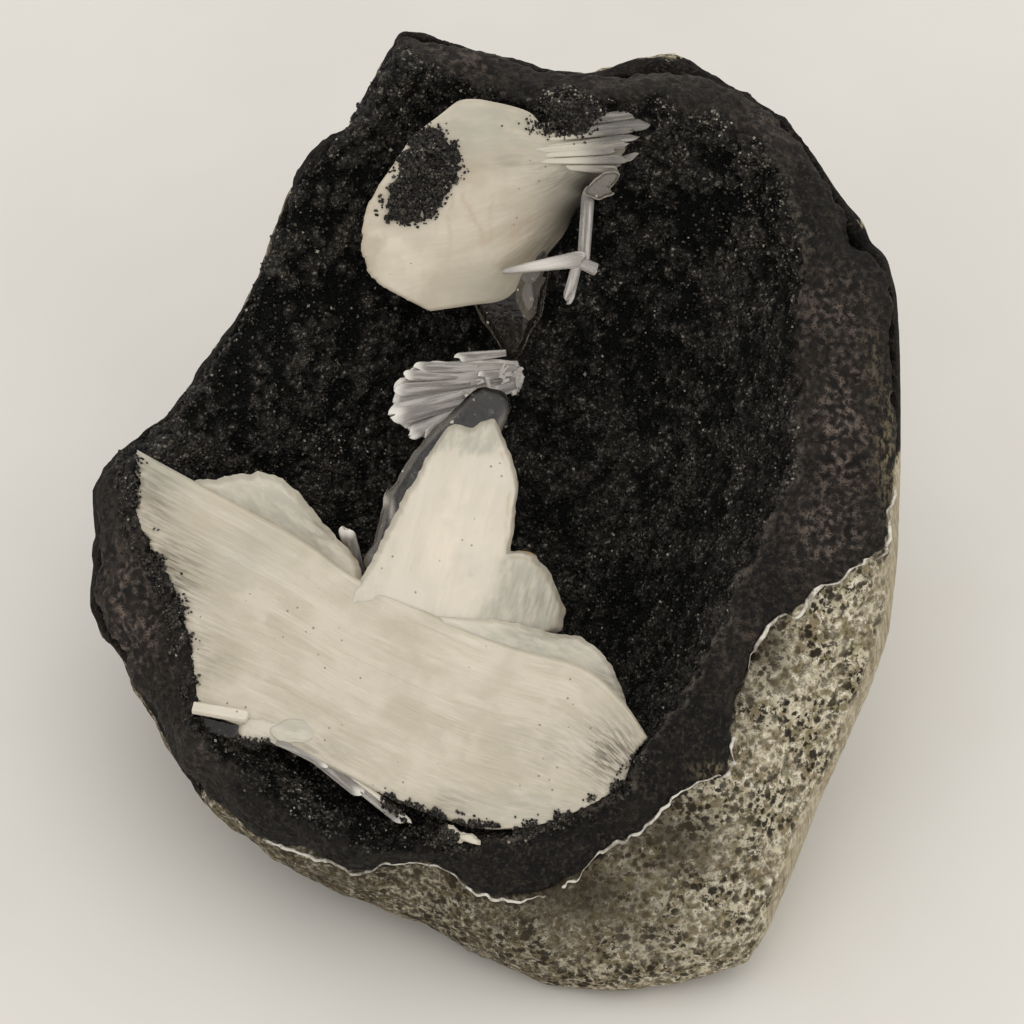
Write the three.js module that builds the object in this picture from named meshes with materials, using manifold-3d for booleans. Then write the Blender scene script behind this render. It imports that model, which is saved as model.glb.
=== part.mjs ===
// A cabinet specimen of stilbite: half of a basalt vug, broken open, lined with black druse
// and crossed by cream stilbite sheaves. Millimetres, +Z up, resting on its flattened underside.
//
// The pieces are drawn in the frame of the open face: +u to the right across the face, +v up
// the face and +w straight out of the hollow. The finished group is leaned back and set down.
import * as THREE from "three";
import { mergeVertices } from "three/addons/utils/BufferGeometryUtils.js";
import Module from "manifold-3d";

const wasm = await Module();
wasm.setup();
const { Manifold, Mesh: ManifoldMesh } = wasm;

// Driving dimensions
const LEAN_DEG = 40; // the open face leans back this far from lying level
const REST_LEVEL = -51.5; // where the underside is flattened, measured up from the face's origin
const HOLLOW_CENTRE = [2, 6]; // u, v of the deepest part of the hollow
const HOLLOW_FLOOR = -27; // w of the hollow's floor
const RIND_THICKNESS = 5; // the dark layer between the druse and the basalt
const BACK = -55; // w of the rock's back
const GAP = 0.4; // clearance along w between neighbouring pieces
const NARROWEST_RIM = 0.8; // least width of the rim between the hollow's lip and the rind's edge
const DEPTH_SPREAD = 1.016; // the rock is drawn as seen, and its widest line lies deeper than the face
const COLUMNS = 88; // bearings round the hollow: divides by 8, for the coarser rings near its middle

// Height of the broken face: it is highest at the lower right.
const FACE_MIDDLE = 4;
const FACE_SLOPE_U = 0.12;
const FACE_SLOPE_V = -0.12;
const face = (u, v) => FACE_MIDDLE + FACE_SLOPE_U * u + FACE_SLOPE_V * v;

// The left side and the start of the top, clockwise, where the dark rind is the rock's own edge.
const BARE_RIM = [
  [-38.5, -44.8], [-43.5, -41.3], [-47.5, -36], [-49.2, -33.5], [-50.5, -29.5], [-53.7, -25],
  [-55.3, -20.3], [-58, -18], [-60, -13.2], [-60, -11], [-59.2, -7.5], [-59.7, -2], [-60.1, 3], [-59, 6],
  [-57, 7.5], [-54.8, 9.9], [-51.8, 10.1], [-50, 11.6], [-48, 15.3], [-44, 21], [-40.2, 27], [-38, 31.5],
  [-34.7, 38], [-33.4, 42.5], [-30.3, 49.8], [-27, 53.3], [-23.1, 55.3], [-22.6, 57.6], [-19.4, 60.6],
  [-19, 64], [-17.7, 67.5], [-16, 69], [-12, 68.5], [-10, 67.2], [-5, 65.8], [0, 65], [5, 63.2],
];

// Outline of the whole rock.
const ROCK_OUTLINE = [
  ...BARE_RIM, [12, 62.8], [17, 65], [21, 65.5], [26, 64.7], [29, 62.4], [36, 58], [40, 54.6],
  [44, 49.5], [48, 43.5], [51.3, 40.2], [53.4, 36], [54.6, 31], [55, 20], [55, 8], [54.6, -8],
  [53.5, -17], [51.5, -23.5], [48, -31.5], [43.5, -41.5], [39.5, -52], [36, -60], [33, -63.5],
  [26, -66], [18, -67.6], [10, -68], [4, -66.7], [-3, -63.5], [-12, -59.2], [-22, -55], [-31, -51],
  [-35.5, -47],
];

// Where the dark rind ends and the grey basalt begins, on the broken face.
const RIND_OUTLINE = [
  ...BARE_RIM, [12, 62.6], [16, 63], [22, 63.6], [27, 62.4], [29.5, 61.8], [36, 58], [40, 54.6],
  [44, 49.5], [47.6, 43.8], [48.4, 39.6], [52.6, 36.2], [54.3, 31], [54.7, 20], [54.5, 9], [54, 3],
  [53.2, -2], [53, -5.7], [50, -6.6], [46.5, -9.5], [42.6, -11], [40.5, -14.3], [38.2, -14.3],
  [36.5, -15.6], [34.5, -18.5], [33, -23.5], [31.6, -28], [31, -33.5], [31.4, -35.5], [29.8, -37.3],
  [27, -37.5], [24, -39.5], [21, -42.4], [18, -45.2], [13, -47.6], [10.5, -50.2], [8, -52.5],
  [4, -54.2], [0, -54.9], [-3, -54.6], [-6, -53], [-10, -50.2], [-13, -49.8], [-18, -49.7],
  [-21, -51.1], [-23.5, -50.9], [-26, -49.6], [-30, -48.3], [-35.2, -46.7],
];

// Lip of the druse-lined hollow, where its wall meets the broken face.
const LIP_OUTLINE = [
  [-14.5, 66], [-9, 63], [-5, 60.8], [1, 59.3], [5, 58], [8, 60.3], [13, 59.8], [19, 59.6], [25, 58.3],
  [30, 55.8], [34.5, 53.6], [37.5, 49.5], [40.5, 44.5], [42.5, 39], [41.5, 33], [40.5, 25], [41, 18],
  [40, 12], [40.3, 6], [37.5, 1], [34.5, -6], [31, -12.5], [28.5, -19], [25.5, -25], [22, -29],
  [19.5, -33], [17, -36.5], [15.5, -39.5], [9, -42.6], [3, -44.6], [-3, -46.5], [-10, -48.4], [-18, -48.6],
  [-25, -46.8], [-32, -43], [-38, -38.5], [-43.5, -33.5], [-46, -29.5], [-45.3, -26], [-46.5, -22],
  [-46.8, -17.5], [-48.3, -13.5], [-50, -9], [-52, -6], [-53.3, -3], [-54.8, 0.5], [-55, 4], [-54, 7.4],
  [-51.2, 9], [-49, 10.8], [-46.8, 15], [-42.8, 20.5], [-39, 26.5], [-36.8, 31], [-33.5, 37.6],
  [-32.2, 42.2], [-29.2, 49], [-26.2, 52.4], [-22.1, 54.5], [-21.4, 57], [-18.4, 60], [-17.6, 63.6],
];

const polar = (degrees, radius) => {
  const bearing = THREE.MathUtils.degToRad(degrees);
  return [HOLLOW_CENTRE[0] + radius * Math.cos(bearing), HOLLOW_CENTRE[1] + radius * Math.sin(bearing)];
};

// Distance from the hollow's centre to a closed outline, along a bearing.
function reach(outline, degrees) {
  const [dirU, dirV] = polar(degrees, 1).map((value, i) => value - HOLLOW_CENTRE[i]);
  let farthest = 0;
  outline.forEach((start, i) => {
    const end = outline[(i + 1) % outline.length];
    const [au, av] = [start[0] - HOLLOW_CENTRE[0], start[1] - HOLLOW_CENTRE[1]];
    const [eu, ev] = [end[0] - start[0], end[1] - start[1]];
    const cross = dirU * ev - dirV * eu;
    if (Math.abs(cross) < 1e-9) return;
    const distance = (au * ev - av * eu) / cross;
    const along = (au * dirV - av * dirU) / cross;
    if (along >= -1e-9 && along <= 1 + 1e-9) farthest = Math.max(farthest, distance);
  });
  return farthest;
}

// A value by bearing, eased between the named stops, in degrees anticlockwise from +u.
function byBearing(stops, degrees) {
  const turn = ((degrees % 360) + 360) % 360;
  for (let i = 0; i < stops.length; i += 1) {
    const [from, value] = stops[i];
    const [next, nextValue] = stops[(i + 1) % stops.length];
    const span = (((next - from) % 360) + 360) % 360;
    const into = (((turn - from) % 360) + 360) % 360;
    if (into <= span) return value + (nextValue - value) * THREE.MathUtils.smoothstep(into / span, 0, 1);
  }
  return stops[0][1];
}

// How far the lip, the rind's edge and the rock's widest line lie below the broken face.
const LIP_DROP = [
  [0, 4], [60, 4], [90, 3], [115, 5], [140, 7], [152, 6], [188, 0], [235, 0], [262, 1], [300, 0], [330, 1],
];
const RIND_DROP = [
  [0, 8], [60, 10], [90, 9], [115, 8], [140, 9], [168, 7], [185, 7], [225, 7], [262, 6], [300, 4], [335, 3],
];
const WIDEST_DROP = [
  [0, 16], [60, 20], [90, 22], [140, 24], [185, 22], [225, 20], [262, 21], [300, 22], [335, 19],
];
// How flat the hollow's floor is towards each side: a high power gives a flat floor and a steep wall.
const WALL_POWER = [[0, 3.2], [60, 2.8], [100, 2.4], [145, 1.8], [195, 2], [240, 2.6], [300, 3.2]];

// Uneven lumps of a rock surface: smooth, repeatable and about -1 to 1.
const lumps = (u, v, w, size) => {
  const [x, y, z] = [u / size, v / size, w / size];
  return (
    (Math.sin(x * 2.1 + 1.3 * Math.sin(y * 1.7 + 0.4)) +
      Math.sin(y * 2.3 + 1.1 * Math.sin(z * 1.9 + 2.1)) +
      Math.sin(z * 2.7 + 1.2 * Math.sin(x * 2.2 + 4.2))) / 3
  );
};
// A repeatable number from 0 to 1 for a counter.
const scatter = (seed) => {
  const value = Math.sin(seed * 127.1 + 311.7) * 43758.5453;
  return value - Math.floor(value);
};

// Closed skin through rings of points. The first and last rings are single points, and a ring may
// have half as many points as its neighbour.
function skin(rings) {
  const positions = [];
  const faces = [];
  const firstOf = [];
  rings.forEach((points) => {
    firstOf.push(positions.length / 3);
    points.forEach((point) => positions.push(...point));
  });
  const stitch = (a, b, c, flipped) => faces.push(...(flipped ? [a, c, b] : [a, b, c]));
  for (let k = 0; k + 1 < rings.length; k += 1) {
    const widens = rings[k + 1].length >= rings[k].length;
    const [few, many] = widens ? [k, k + 1] : [k + 1, k];
    const [count, double] = [rings[few].length, rings[many].length];
    const fewAt = (i) => firstOf[few] + (i % count);
    const manyAt = (i) => firstOf[many] + (i % double);
    for (let i = 0; i < double; i += 1) {
      if (count === 1) stitch(fewAt(0), manyAt(i), manyAt(i + 1), !widens);
      else if (count === double) {
        stitch(fewAt(i), manyAt(i), manyAt(i + 1), !widens);
        stitch(fewAt(i), manyAt(i + 1), fewAt(i + 1), !widens);
      } else if (i < count) {
        stitch(fewAt(i), manyAt(2 * i), manyAt(2 * i + 1), !widens);
        stitch(fewAt(i), manyAt(2 * i + 1), fewAt(i + 1), !widens);
        stitch(fewAt(i + 1), manyAt(2 * i + 1), manyAt(2 * i + 2), !widens);
      }
    }
  }
  const geometry = new THREE.BufferGeometry();
  geometry.setAttribute("position", new THREE.Float32BufferAttribute(positions, 3));
  geometry.setIndex(faces);
  return geometry;
}

// Merges a geometry's vertices and makes it a solid.
function solid(geometry) {
  const bare = geometry.clone();
  bare.deleteAttribute("normal");
  bare.deleteAttribute("uv");
  const merged = mergeVertices(bare, 1e-4);
  return new Manifold(
    new ManifoldMesh({
      numProp: 3,
      vertProperties: new Float32Array(merged.attributes.position.array),
      triVerts: new Uint32Array(merged.index.array),
    }),
  );
}

// A solid's mesh as a three.js geometry.
function geometryOf(manifold) {
  const mesh = manifold.getMesh();
  const positions = new Float32Array(mesh.numVert * 3);
  for (let i = 0; i < mesh.numVert; i += 1) {
    const first = i * mesh.numProp;
    positions.set(mesh.vertProperties.subarray(first, first + 3), i * 3);
  }
  const geometry = new THREE.BufferGeometry();
  geometry.setAttribute("position", new THREE.BufferAttribute(positions, 3));
  geometry.setIndex(new THREE.BufferAttribute(new Uint32Array(mesh.triVerts), 1));
  geometry.computeVertexNormals();
  return geometry;
}

// Evenly spread bearings, each moved onto a corner of the rock's outline that is close to it.
const STEP = 360 / COLUMNS;
const CORNERS = ROCK_OUTLINE.map(([u, v]) =>
  THREE.MathUtils.radToDeg(Math.atan2(v - HOLLOW_CENTRE[1], u - HOLLOW_CENTRE[0])),
);
const turnTo = (degrees) => THREE.MathUtils.euclideanModulo(degrees + 180, 360) - 180;
const BEARINGS = Array.from({ length: COLUMNS }, (_, i) => {
  const offsets = CORNERS.map((corner) => turnTo(corner - i * STEP));
  const nearest = offsets.reduce((best, offset) => (Math.abs(offset) < Math.abs(best) ? offset : best));
  return i * STEP + (Math.abs(nearest) < 0.45 * STEP ? nearest : 0);
});
const lipReach = BEARINGS.map((degrees) => reach(LIP_OUTLINE, degrees));
const rindReach = BEARINGS.map((degrees, i) =>
  Math.max(reach(RIND_OUTLINE, degrees), lipReach[i] + NARROWEST_RIM),
);
const rockReach = BEARINGS.map((degrees, i) =>
  Math.max(reach(ROCK_OUTLINE, degrees) * DEPTH_SPREAD, rindReach[i]),
);

// A ring at a share of a reach, with its height from a function of bearing and place. Near the
// middle only every second or fourth bearing is kept.
const ring = (reaches, share, height) => {
  const every = share < 0.2 ? 4 : share < 0.38 ? 2 : 1;
  const points = BEARINGS.map((degrees, i) => {
    const [u, v] = polar(degrees, reaches[i] * share);
    return [u, v, height(degrees, i, u, v)];
  });
  return points.filter((_, i) => i % every === 0);
};
const apex = (w) => [[...HOLLOW_CENTRE, w]];

// Height of the face's own surface at a bearing's full reach, less a drop.
const edgeHeight = (reaches, i, degrees, drop) => {
  const [u, v] = polar(degrees, reaches[i]);
  return face(u, v) - byBearing(drop, degrees);
};

// The hollow's druse-covered wall, raised by a clearance.
const HOLLOW_SHARES = [0.15, 0.28, 0.41, 0.54, 0.66, 0.77, 0.87, 0.95, 1];
const hollowRings = (raise) => [
  apex(HOLLOW_FLOOR + raise),
  ...HOLLOW_SHARES.map((share) =>
    ring(lipReach, share, (degrees, i, u, v) => {
      const lip = edgeHeight(lipReach, i, degrees, LIP_DROP);
      const rise = share ** byBearing(WALL_POWER, degrees);
      const unevenness = 1.1 * lumps(u, v, 0, 8) + 0.6 * lumps(v, u, 3, 4.2);
      return HOLLOW_FLOOR + (lip - HOLLOW_FLOOR) * rise + unevenness * Math.min(1, 3 * (1 - share)) + raise;
    }),
  ),
];

// The broken face between the hollow's lip and the rind's edge.
const RIM_SHARES = [0.35, 0.7, 1];
const rimRings = (raise) =>
  RIM_SHARES.map((share) =>
    BEARINGS.map((degrees, i) => {
      const radius = THREE.MathUtils.lerp(lipReach[i], rindReach[i], share);
      const [u, v] = polar(degrees, radius);
      const lip = edgeHeight(lipReach, i, degrees, LIP_DROP);
      const edge = edgeHeight(rindReach, i, degrees, RIND_DROP);
      const width = Math.min(1, (rindReach[i] - lipReach[i]) / 8);
      const crown = 1.2 * Math.sin(Math.PI * share) + 0.7 * lumps(u, v, 9, 3.1) * (1 - share);
      return [u, v, THREE.MathUtils.lerp(lip, edge, share) + crown * width + raise];
    }),
  );

// Contact between rind and basalt, lowered by a clearance, from its edge to its middle.
const CONTACT_SHARES = [0.88, 0.66, 0.43, 0.3, 0.15];
const contactRings = (lower) => [
  ...CONTACT_SHARES.map((share) =>
    ring(rindReach, share, (degrees, i) => {
      const edge = edgeHeight(rindReach, i, degrees, RIND_DROP);
      const floor = HOLLOW_FLOOR - RIND_THICKNESS;
      return floor + (edge - floor) * share ** byBearing(WALL_POWER, degrees) - lower;
    }),
  ),
  apex(HOLLOW_FLOOR - RIND_THICKNESS - lower),
];

function drusyLining() {
  return solid(skin([...hollowRings(0), ...rimRings(0), ...contactRings(0)]));
}

// Everything the hollow's wall and the rim stand in front of: what crystals are trimmed by.
function rockBlock() {
  const skirt = ring(rockReach, 1.4, () => BACK - 20);
  const rings = [...hollowRings(GAP), ...rimRings(GAP), skirt, apex(BACK - 20)];
  return solid(skin(rings));
}

// The outside of the basalt, from the rind's edge over the widest line to the back.
const FLANK_SHARES = [0.35, 0.7, 1];
const BACK_SHARES = [0.96, 0.86, 0.7, 0.5, 0.3, 0.15];
function basaltMatrix() {
  const start = BEARINGS.map((degrees, i) => [
    ...polar(degrees, rindReach[i]),
    edgeHeight(rindReach, i, degrees, RIND_DROP) - GAP,
  ]);
  const flank = FLANK_SHARES.map((share) =>
    BEARINGS.map((degrees, i) => {
      const outward = Math.sin((share * Math.PI) / 2);
      const [u, v] = polar(degrees, THREE.MathUtils.lerp(rindReach[i], rockReach[i], outward));
      const top = start[i][2];
      const bottom = edgeHeight(rockReach, i, degrees, WIDEST_DROP);
      return [u, v, THREE.MathUtils.lerp(top, bottom, share ** 1.3)];
    }),
  );
  const back = BACK_SHARES.map((share) =>
    ring(rockReach, share, (degrees, i, u, v) => {
      const widest = edgeHeight(rockReach, i, degrees, WIDEST_DROP);
      const depth = (1 - share ** 2.6) ** 0.8;
      return widest + (BACK - widest) * depth + 2.4 * lumps(u, v, 5, 15) + 0.9 * lumps(v, u, 2, 6);
    }),
  );
  const bed = [...contactRings(GAP)].reverse();
  return solid(skin([...bed, start, ...flank, ...back, apex(BACK)]));
}

const OUTWARD = new THREE.Vector3(0, 0, 1);

// Removes all that lies beyond a plane through a point, whose normal points outwards.
function breakOff(body, point, normal) {
  const size = 400;
  const block = new THREE.BoxGeometry(size, size, size);
  const turn = new THREE.Quaternion().setFromUnitVectors(OUTWARD, normal.clone().normalize());
  block.translate(0, 0, size / 2).applyQuaternion(turn).translate(point.x, point.y, point.z);
  return body.subtract(solid(block));
}

// World up, seen in the frame of the face.
const LEAN = THREE.MathUtils.degToRad(LEAN_DEG);
const UP = new THREE.Vector3(0, Math.sin(LEAN), Math.cos(LEAN));

// Fracture faces on the unseen back, each a point and an outward normal in the face's frame.
const FRACTURES = [
  [[30, 30, -44], [0.62, 0.5, -0.6]],
  [[-34, 20, -38], [-0.62, 0.34, -0.7]],
  [[-30, -34, -36], [-0.55, -0.42, -0.72]],
  [[38, -20, -40], [0.8, -0.1, -0.6]],
  [[2, 52, -38], [0.05, 0.72, -0.69]],
];

function trimmedMatrix() {
  let rock = basaltMatrix();
  FRACTURES.forEach(([point, normal]) => {
    rock = breakOff(rock, new THREE.Vector3(...point), new THREE.Vector3(...normal));
  });
  return breakOff(rock, UP.clone().multiplyScalar(REST_LEVEL), UP.clone().negate());
}

// Point on a smooth curve through points, at a share of its length.
const curvePoint = (points, share) => {
  const curve = new THREE.SplineCurve(points.map(([u, v]) => new THREE.Vector2(u, v)));
  return curve.getPoint(share).toArray();
};

// A sheaf of fibres. Its face is a Coons patch between four edge curves: right and left run along
// the outer fibres from the near end to the far end, near and far cross them from right to left.
// The face is ridged along the fibres, and the ends are stepped.
function sheaf({ right, left, near, far, stations, fibres, height, depth, narrow, ridge, stepping, seed }) {
  const grid = [];
  for (let i = 0; i <= stations; i += 1)
    for (let j = 0; j <= fibres; j += 1) {
      const q = j / fibres;
      const inset = (stepping * scatter(seed + j)) / stations;
      let s = i / stations;
      if (i === 0) s = inset;
      if (i === stations) s = 1 - inset;
      const [r, l] = [curvePoint(right, s), curvePoint(left, s)];
      const [n, f] = [curvePoint(near, q), curvePoint(far, q)];
      const [r0, r1, l0, l1] = [right[0], right.at(-1), left[0], left.at(-1)];
      const place = (axis) =>
        (1 - q) * r[axis] + q * l[axis] + (1 - s) * n[axis] + s * f[axis] -
        ((1 - s) * ((1 - q) * r0[axis] + q * l0[axis]) + s * ((1 - q) * r1[axis] + q * l1[axis]));
      grid.push({ u: place(0), v: place(1), s, q, j });
    }
  const count = grid.length;
  const positions = [];
  grid.forEach(({ u, v, s, q, j }) => {
    const rib = ridge * (scatter(seed + 50 + j) - 0.5) * (0.5 + 0.5 * Math.sin(j * 1.7 + s * 5));
    positions.push(u, v, height(u, v, s, q) + (j === 0 || j === fibres ? -ridge : rib));
  });
  const middle = (i) => {
    const a = grid[i * (fibres + 1)];
    const b = grid[i * (fibres + 1) + fibres];
    return [(a.u + b.u) / 2, (a.v + b.v) / 2];
  };
  grid.forEach(({ u, v, s, q }, index) => {
    const [mu, mv] = middle(Math.floor(index / (fibres + 1)));
    positions.push(mu + (u - mu) * narrow, mv + (v - mv) * narrow, height(u, v, s, q) - depth(s, q));
  });
  const faces = [];
  const at = (i, j) => i * (fibres + 1) + j;
  for (let i = 0; i < stations; i += 1)
    for (let j = 0; j < fibres; j += 1) {
      const [a, b, c, d] = [at(i, j), at(i + 1, j), at(i + 1, j + 1), at(i, j + 1)];
      faces.push(a, b, c, a, c, d);
      faces.push(a + count, c + count, b + count, a + count, d + count, c + count);
    }
  const wall = (a, b) => faces.push(a, a + count, b + count, a, b + count, b);
  for (let i = 0; i < stations; i += 1) {
    wall(at(i, 0), at(i + 1, 0));
    wall(at(i + 1, fibres), at(i, fibres));
  }
  for (let j = 0; j < fibres; j += 1) {
    wall(at(stations, j), at(stations, j + 1));
    wall(at(0, j + 1), at(0, j));
  }
  const geometry = new THREE.BufferGeometry();
  geometry.setAttribute("position", new THREE.Float32BufferAttribute(positions, 3));
  geometry.setIndex(faces);
  return solid(geometry);
}

// A flat tabular crystal: an outline with bevelled edges, its face on a tilted plane.
// The plane is [w at the origin, slope along u, slope along v].
function plate(outline, [level, slopeU, slopeV], thickness, bevel) {
  const shape = new THREE.Shape(outline.map(([u, v]) => new THREE.Vector2(u, v)));
  const geometry = new THREE.ExtrudeGeometry(shape, {
    depth: thickness - 2 * bevel,
    bevelThickness: bevel,
    bevelSize: bevel,
    bevelOffset: -bevel,
    bevelSegments: 1,
    curveSegments: 4,
  });
  const place = geometry.attributes.position;
  for (let i = 0; i < place.count; i += 1) {
    const [u, v, w] = [place.getX(i), place.getY(i), place.getZ(i)];
    place.setZ(i, w + bevel - thickness + level + slopeU * u + slopeV * v);
  }
  return solid(geometry);
}

// A slender blade from its root to its tip, six-sided, with a blunt point. At no roll its broad
// side faces out of the hollow.
const BLADE_PROFILE = [[0, 0], [0.36, 0], [0.5, 0.6], [0.34, 0.96], [0, 1]];
function blade(root, tip, width, thickness, roll) {
  const [from, to] = [new THREE.Vector3(...root), new THREE.Vector3(...tip)];
  const profile = BLADE_PROFILE.map(([x, y]) => new THREE.Vector2(x, y));
  const geometry = new THREE.LatheGeometry(profile, 6);
  const along = to.clone().sub(from).normalize();
  const across = along.clone().cross(OUTWARD).normalize();
  const facing = across.clone().cross(along);
  geometry.scale(width, from.distanceTo(to), thickness);
  geometry.rotateY(THREE.MathUtils.degToRad(roll));
  geometry.applyMatrix4(new THREE.Matrix4().makeBasis(across, along, facing));
  geometry.translate(from.x, from.y, from.z);
  return solid(geometry);
}

const join = (pieces) => pieces.reduce((all, piece) => all.add(piece));

// A crystal group with what would stick into the rock cut away, and the loose chips of that cut.
function trimmed(group) {
  const bodies = group.subtract(rock).decompose();
  return bodies.reduce((best, body) => (body.volume() > best.volume() ? body : best));
}

// Lower cluster: the great bow-tie sheaf, the blade behind it, the upright blade with its lobe
// and thin plates, all grown into each other.
const GREAT_SHEAF = {
  right: [[-46, -28], [-36, -31.5], [-27, -35.8], [-16, -41.2], [-5, -44.8], [3.5, -44.6]],
  left: [
    [-54.3, 9.2], [-41, 2], [-30, -4], [-21.5, -9.8], [-9, -15.6], [0, -19.2], [10, -21.9], [15.5, -26.5],
    [19.3, -32],
  ],
  near: [
    [-46, -28], [-46.3, -22.5], [-46.8, -17.5], [-48.6, -12], [-51.4, -6.6], [-54, -1], [-54.6, 4],
    [-54.3, 9.2],
  ],
  far: [[3.5, -44.6], [9, -42.6], [13, -40.6], [16, -38.2], [17, -35.4], [19.3, -32]],
};
const SHEAF_CROWN = 1.6; // how far the sheaf's face bulges
const SHEAF_DEPTH = 19;
const arch = (share) => Math.sin(Math.PI * share);

function greatSheaf() {
  return sheaf({
    ...GREAT_SHEAF,
    stations: 9,
    fibres: 20,
    height: (u, v, s, q) => face(u, v) - 0.4 + SHEAF_CROWN * arch(q) * arch(s),
    depth: (s, q) => SHEAF_DEPTH * (0.45 + 0.55 * arch(s)) * (0.5 + 0.5 * arch(q)),
    narrow: 0.62,
    ridge: 0.8,
    stepping: 0.5,
    seed: 3,
  });
}

const BACK_BLADE = [
  [-47, 3.5], [-42, 4.8], [-41, 5.5], [-35.2, 5.9], [-32.4, 4.6], [-31, 3.5], [-26, -2.3], [-23.5, -5],
  [-21.6, -7.6], [-22.3, -12], [-34, -16], [-46, -8],
];
const UPRIGHT_BLADE = [
  [-24, -14], [-21.9, -9.6], [-20, -6], [-17, -0.5], [-14, 5], [-11.5, 9.4], [-10, 11.6], [-8, 12.8],
  [-6, 12.5], [-3, 13.5], [-2, 13.1], [-1, 10.7], [0.1, 8], [1, 4.6], [0.7, 1], [0.4, -2], [0, -5.6],
  [-1, -13], [-4, -22], [-16, -22],
];
const LOBE = [
  [-3, -6], [1.5, -5.5], [3.6, -6], [5, -7.8], [6.3, -10], [7.3, -12.2], [7.9, -14.8], [7.3, -16.9],
  [4, -19], [-2, -22], [-9, -18], [-8, -10],
];
const THIN_PLATE = [
  [-22, -9], [-19.4, -4], [-18.9, 0], [-18.4, 2.4], [-15.6, 7.6], [-12, 11.5], [-8.5, 15.2], [-4, 17.2],
  [-0.4, 16.8], [0.4, 14.6], [-1, 8], [-6, -6], [-14, -14],
];
const RIGHT_PLATE = [
  [-11, -15.6], [-8, -15], [-2.5, -15.1], [0, -15.4], [4, -16.5], [9.8, -17.7], [12, -19], [14.5, -22],
  [15.7, -24.6], [16.4, -26.6], [16, -30], [8, -30], [-6, -24],
];

// Slim prisms along the sheaf's lower edge: root, tip and width.
const SLIVERS = [
  [[-46, -27, 2.6], [-37, -30, 4.4], 3],
  [[-34, -32.4, 3.4], [-26, -35.6, 4.6], 2.6],
  [[-28, -34.6, 4], [-20, -39.6, 5.2], 2.8],
  [[-22, -37.8, 4.4], [-14, -43.4, 6.2], 2.8],
  [[-11, -43.2, 4], [-4.4, -47, 7.6], 3.2],
];

function lowerCluster() {
  const upright = [2.4, 0.02, -0.06];
  return join([
    greatSheaf(),
    plate(BACK_BLADE, [-1.4, 0, -0.05], 5, 1.1),
    plate(UPRIGHT_BLADE, upright, 7.5, 1.2),
    plate(UPRIGHT_BLADE.map(([u, v]) => [u * 0.9 - 1, v * 0.94]), [3.1, 0.02, -0.05], 6, 0.8),
    plate(LOBE, [2.2, -0.1, -0.04], 6, 1.4),
    plate(THIN_PLATE, [-2.2, 0.05, -0.08], 2.6, 0.5),
    plate(RIGHT_PLATE, [3.2, 0.06, -0.1], 3.2, 0.6),
    blade([-22, -9, -8], [-23.6, -2.4, -3], 2.2, 1.3, 20),
    ...SLIVERS.map(([root, tip, width]) => blade(root, tip, width, width * 0.8, 20)),
  ]);
}

// Middle fan: glassy blades that spread from one root on the hollow's floor: tip, width and roll.
const FAN_ROOT = [4.6, 17.6, -27];
const FAN_BLADES = [
  [[-7.8, 22.6, -9], 3, 10], [[-12.8, 21.6, -8], 4, -20], [[-15.2, 19.8, -7], 3.6, 15],
  [[-17, 16.6, -7], 4.2, -8], [[-17.2, 13.4, -8], 3.6, 25], [[-14.6, 10.8, -10], 4.4, -12],
  [[-10.6, 17, -6.5], 4, 5], [[-10.6, 12.4, -13], 4.4, 20],
];
function middleFan() {
  return join(FAN_BLADES.map(([tip, width, roll]) => blade(FAN_ROOT, tip, width, width * 0.45, roll)));
}

// Upper cluster: a fan-shaped sheaf hanging from the hollow's upper wall, glassy blades where it
// narrows, two plates below it and a few small prisms.
const UPPER_SHEAF = {
  left: [[13, 46.6], [9.4, 43.6], [7.2, 39.6], [2.6, 34.4], [-1, 30.7], [-6, 29.7], [-11.9, 28.8]],
  right: [[15, 57.6], [9, 55.3], [5, 55], [2.4, 57.4], [-2.6, 58.8], [-7, 59.2], [-10.2, 57]],
  near: [[15, 57.6], [17, 54], [16, 50], [13, 46.6]],
  far: [
    [-10.2, 57], [-14.4, 53.6], [-17.6, 49], [-20.6, 44.4], [-21.7, 39.8], [-21.4, 36], [-19.6, 33],
    [-15.4, 30.5], [-11.9, 28.8],
  ],
};

// The sheaf's face is a low dome that curls over at its lower right edge.
const UPPER_CROWN = { u: -8, v: 45, w: -1.5, fall: 0.011 };
const UPPER_EDGE = { u: 13, v: 46.6, inU: -0.75, inV: 0.66, curl: 4.5, width: 2.8 };
const upperFace = (u, v) => {
  const dome = UPPER_CROWN.fall * ((u - UPPER_CROWN.u) ** 2 + (v - UPPER_CROWN.v) ** 2);
  const inside = (u - UPPER_EDGE.u) * UPPER_EDGE.inU + (v - UPPER_EDGE.v) * UPPER_EDGE.inV;
  return UPPER_CROWN.w - dome - UPPER_EDGE.curl * Math.exp(-Math.max(0, inside) / UPPER_EDGE.width);
};

const UPPER_DEPTH = 15;
function upperSheaf() {
  return sheaf({
    ...UPPER_SHEAF,
    stations: 8,
    fibres: 13,
    height: upperFace,
    depth: (s, q) => UPPER_DEPTH * (0.6 + 0.4 * arch(q)),
    narrow: 0.66,
    ridge: 0.9,
    stepping: 0.4,
    seed: 11,
  });
}

const LOWER_PLATE = [
  [-6.6, 36], [-5.6, 29.9], [-2.6, 25.2], [-0.8, 22.4], [0.8, 22.2], [3, 26], [4.8, 30], [4.4, 38],
];
const SIDE_PLATE = [[0.4, 38], [0.6, 30], [1.8, 27.2], [3.2, 27.6], [4, 31], [5.4, 34], [5.6, 39]];

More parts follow.
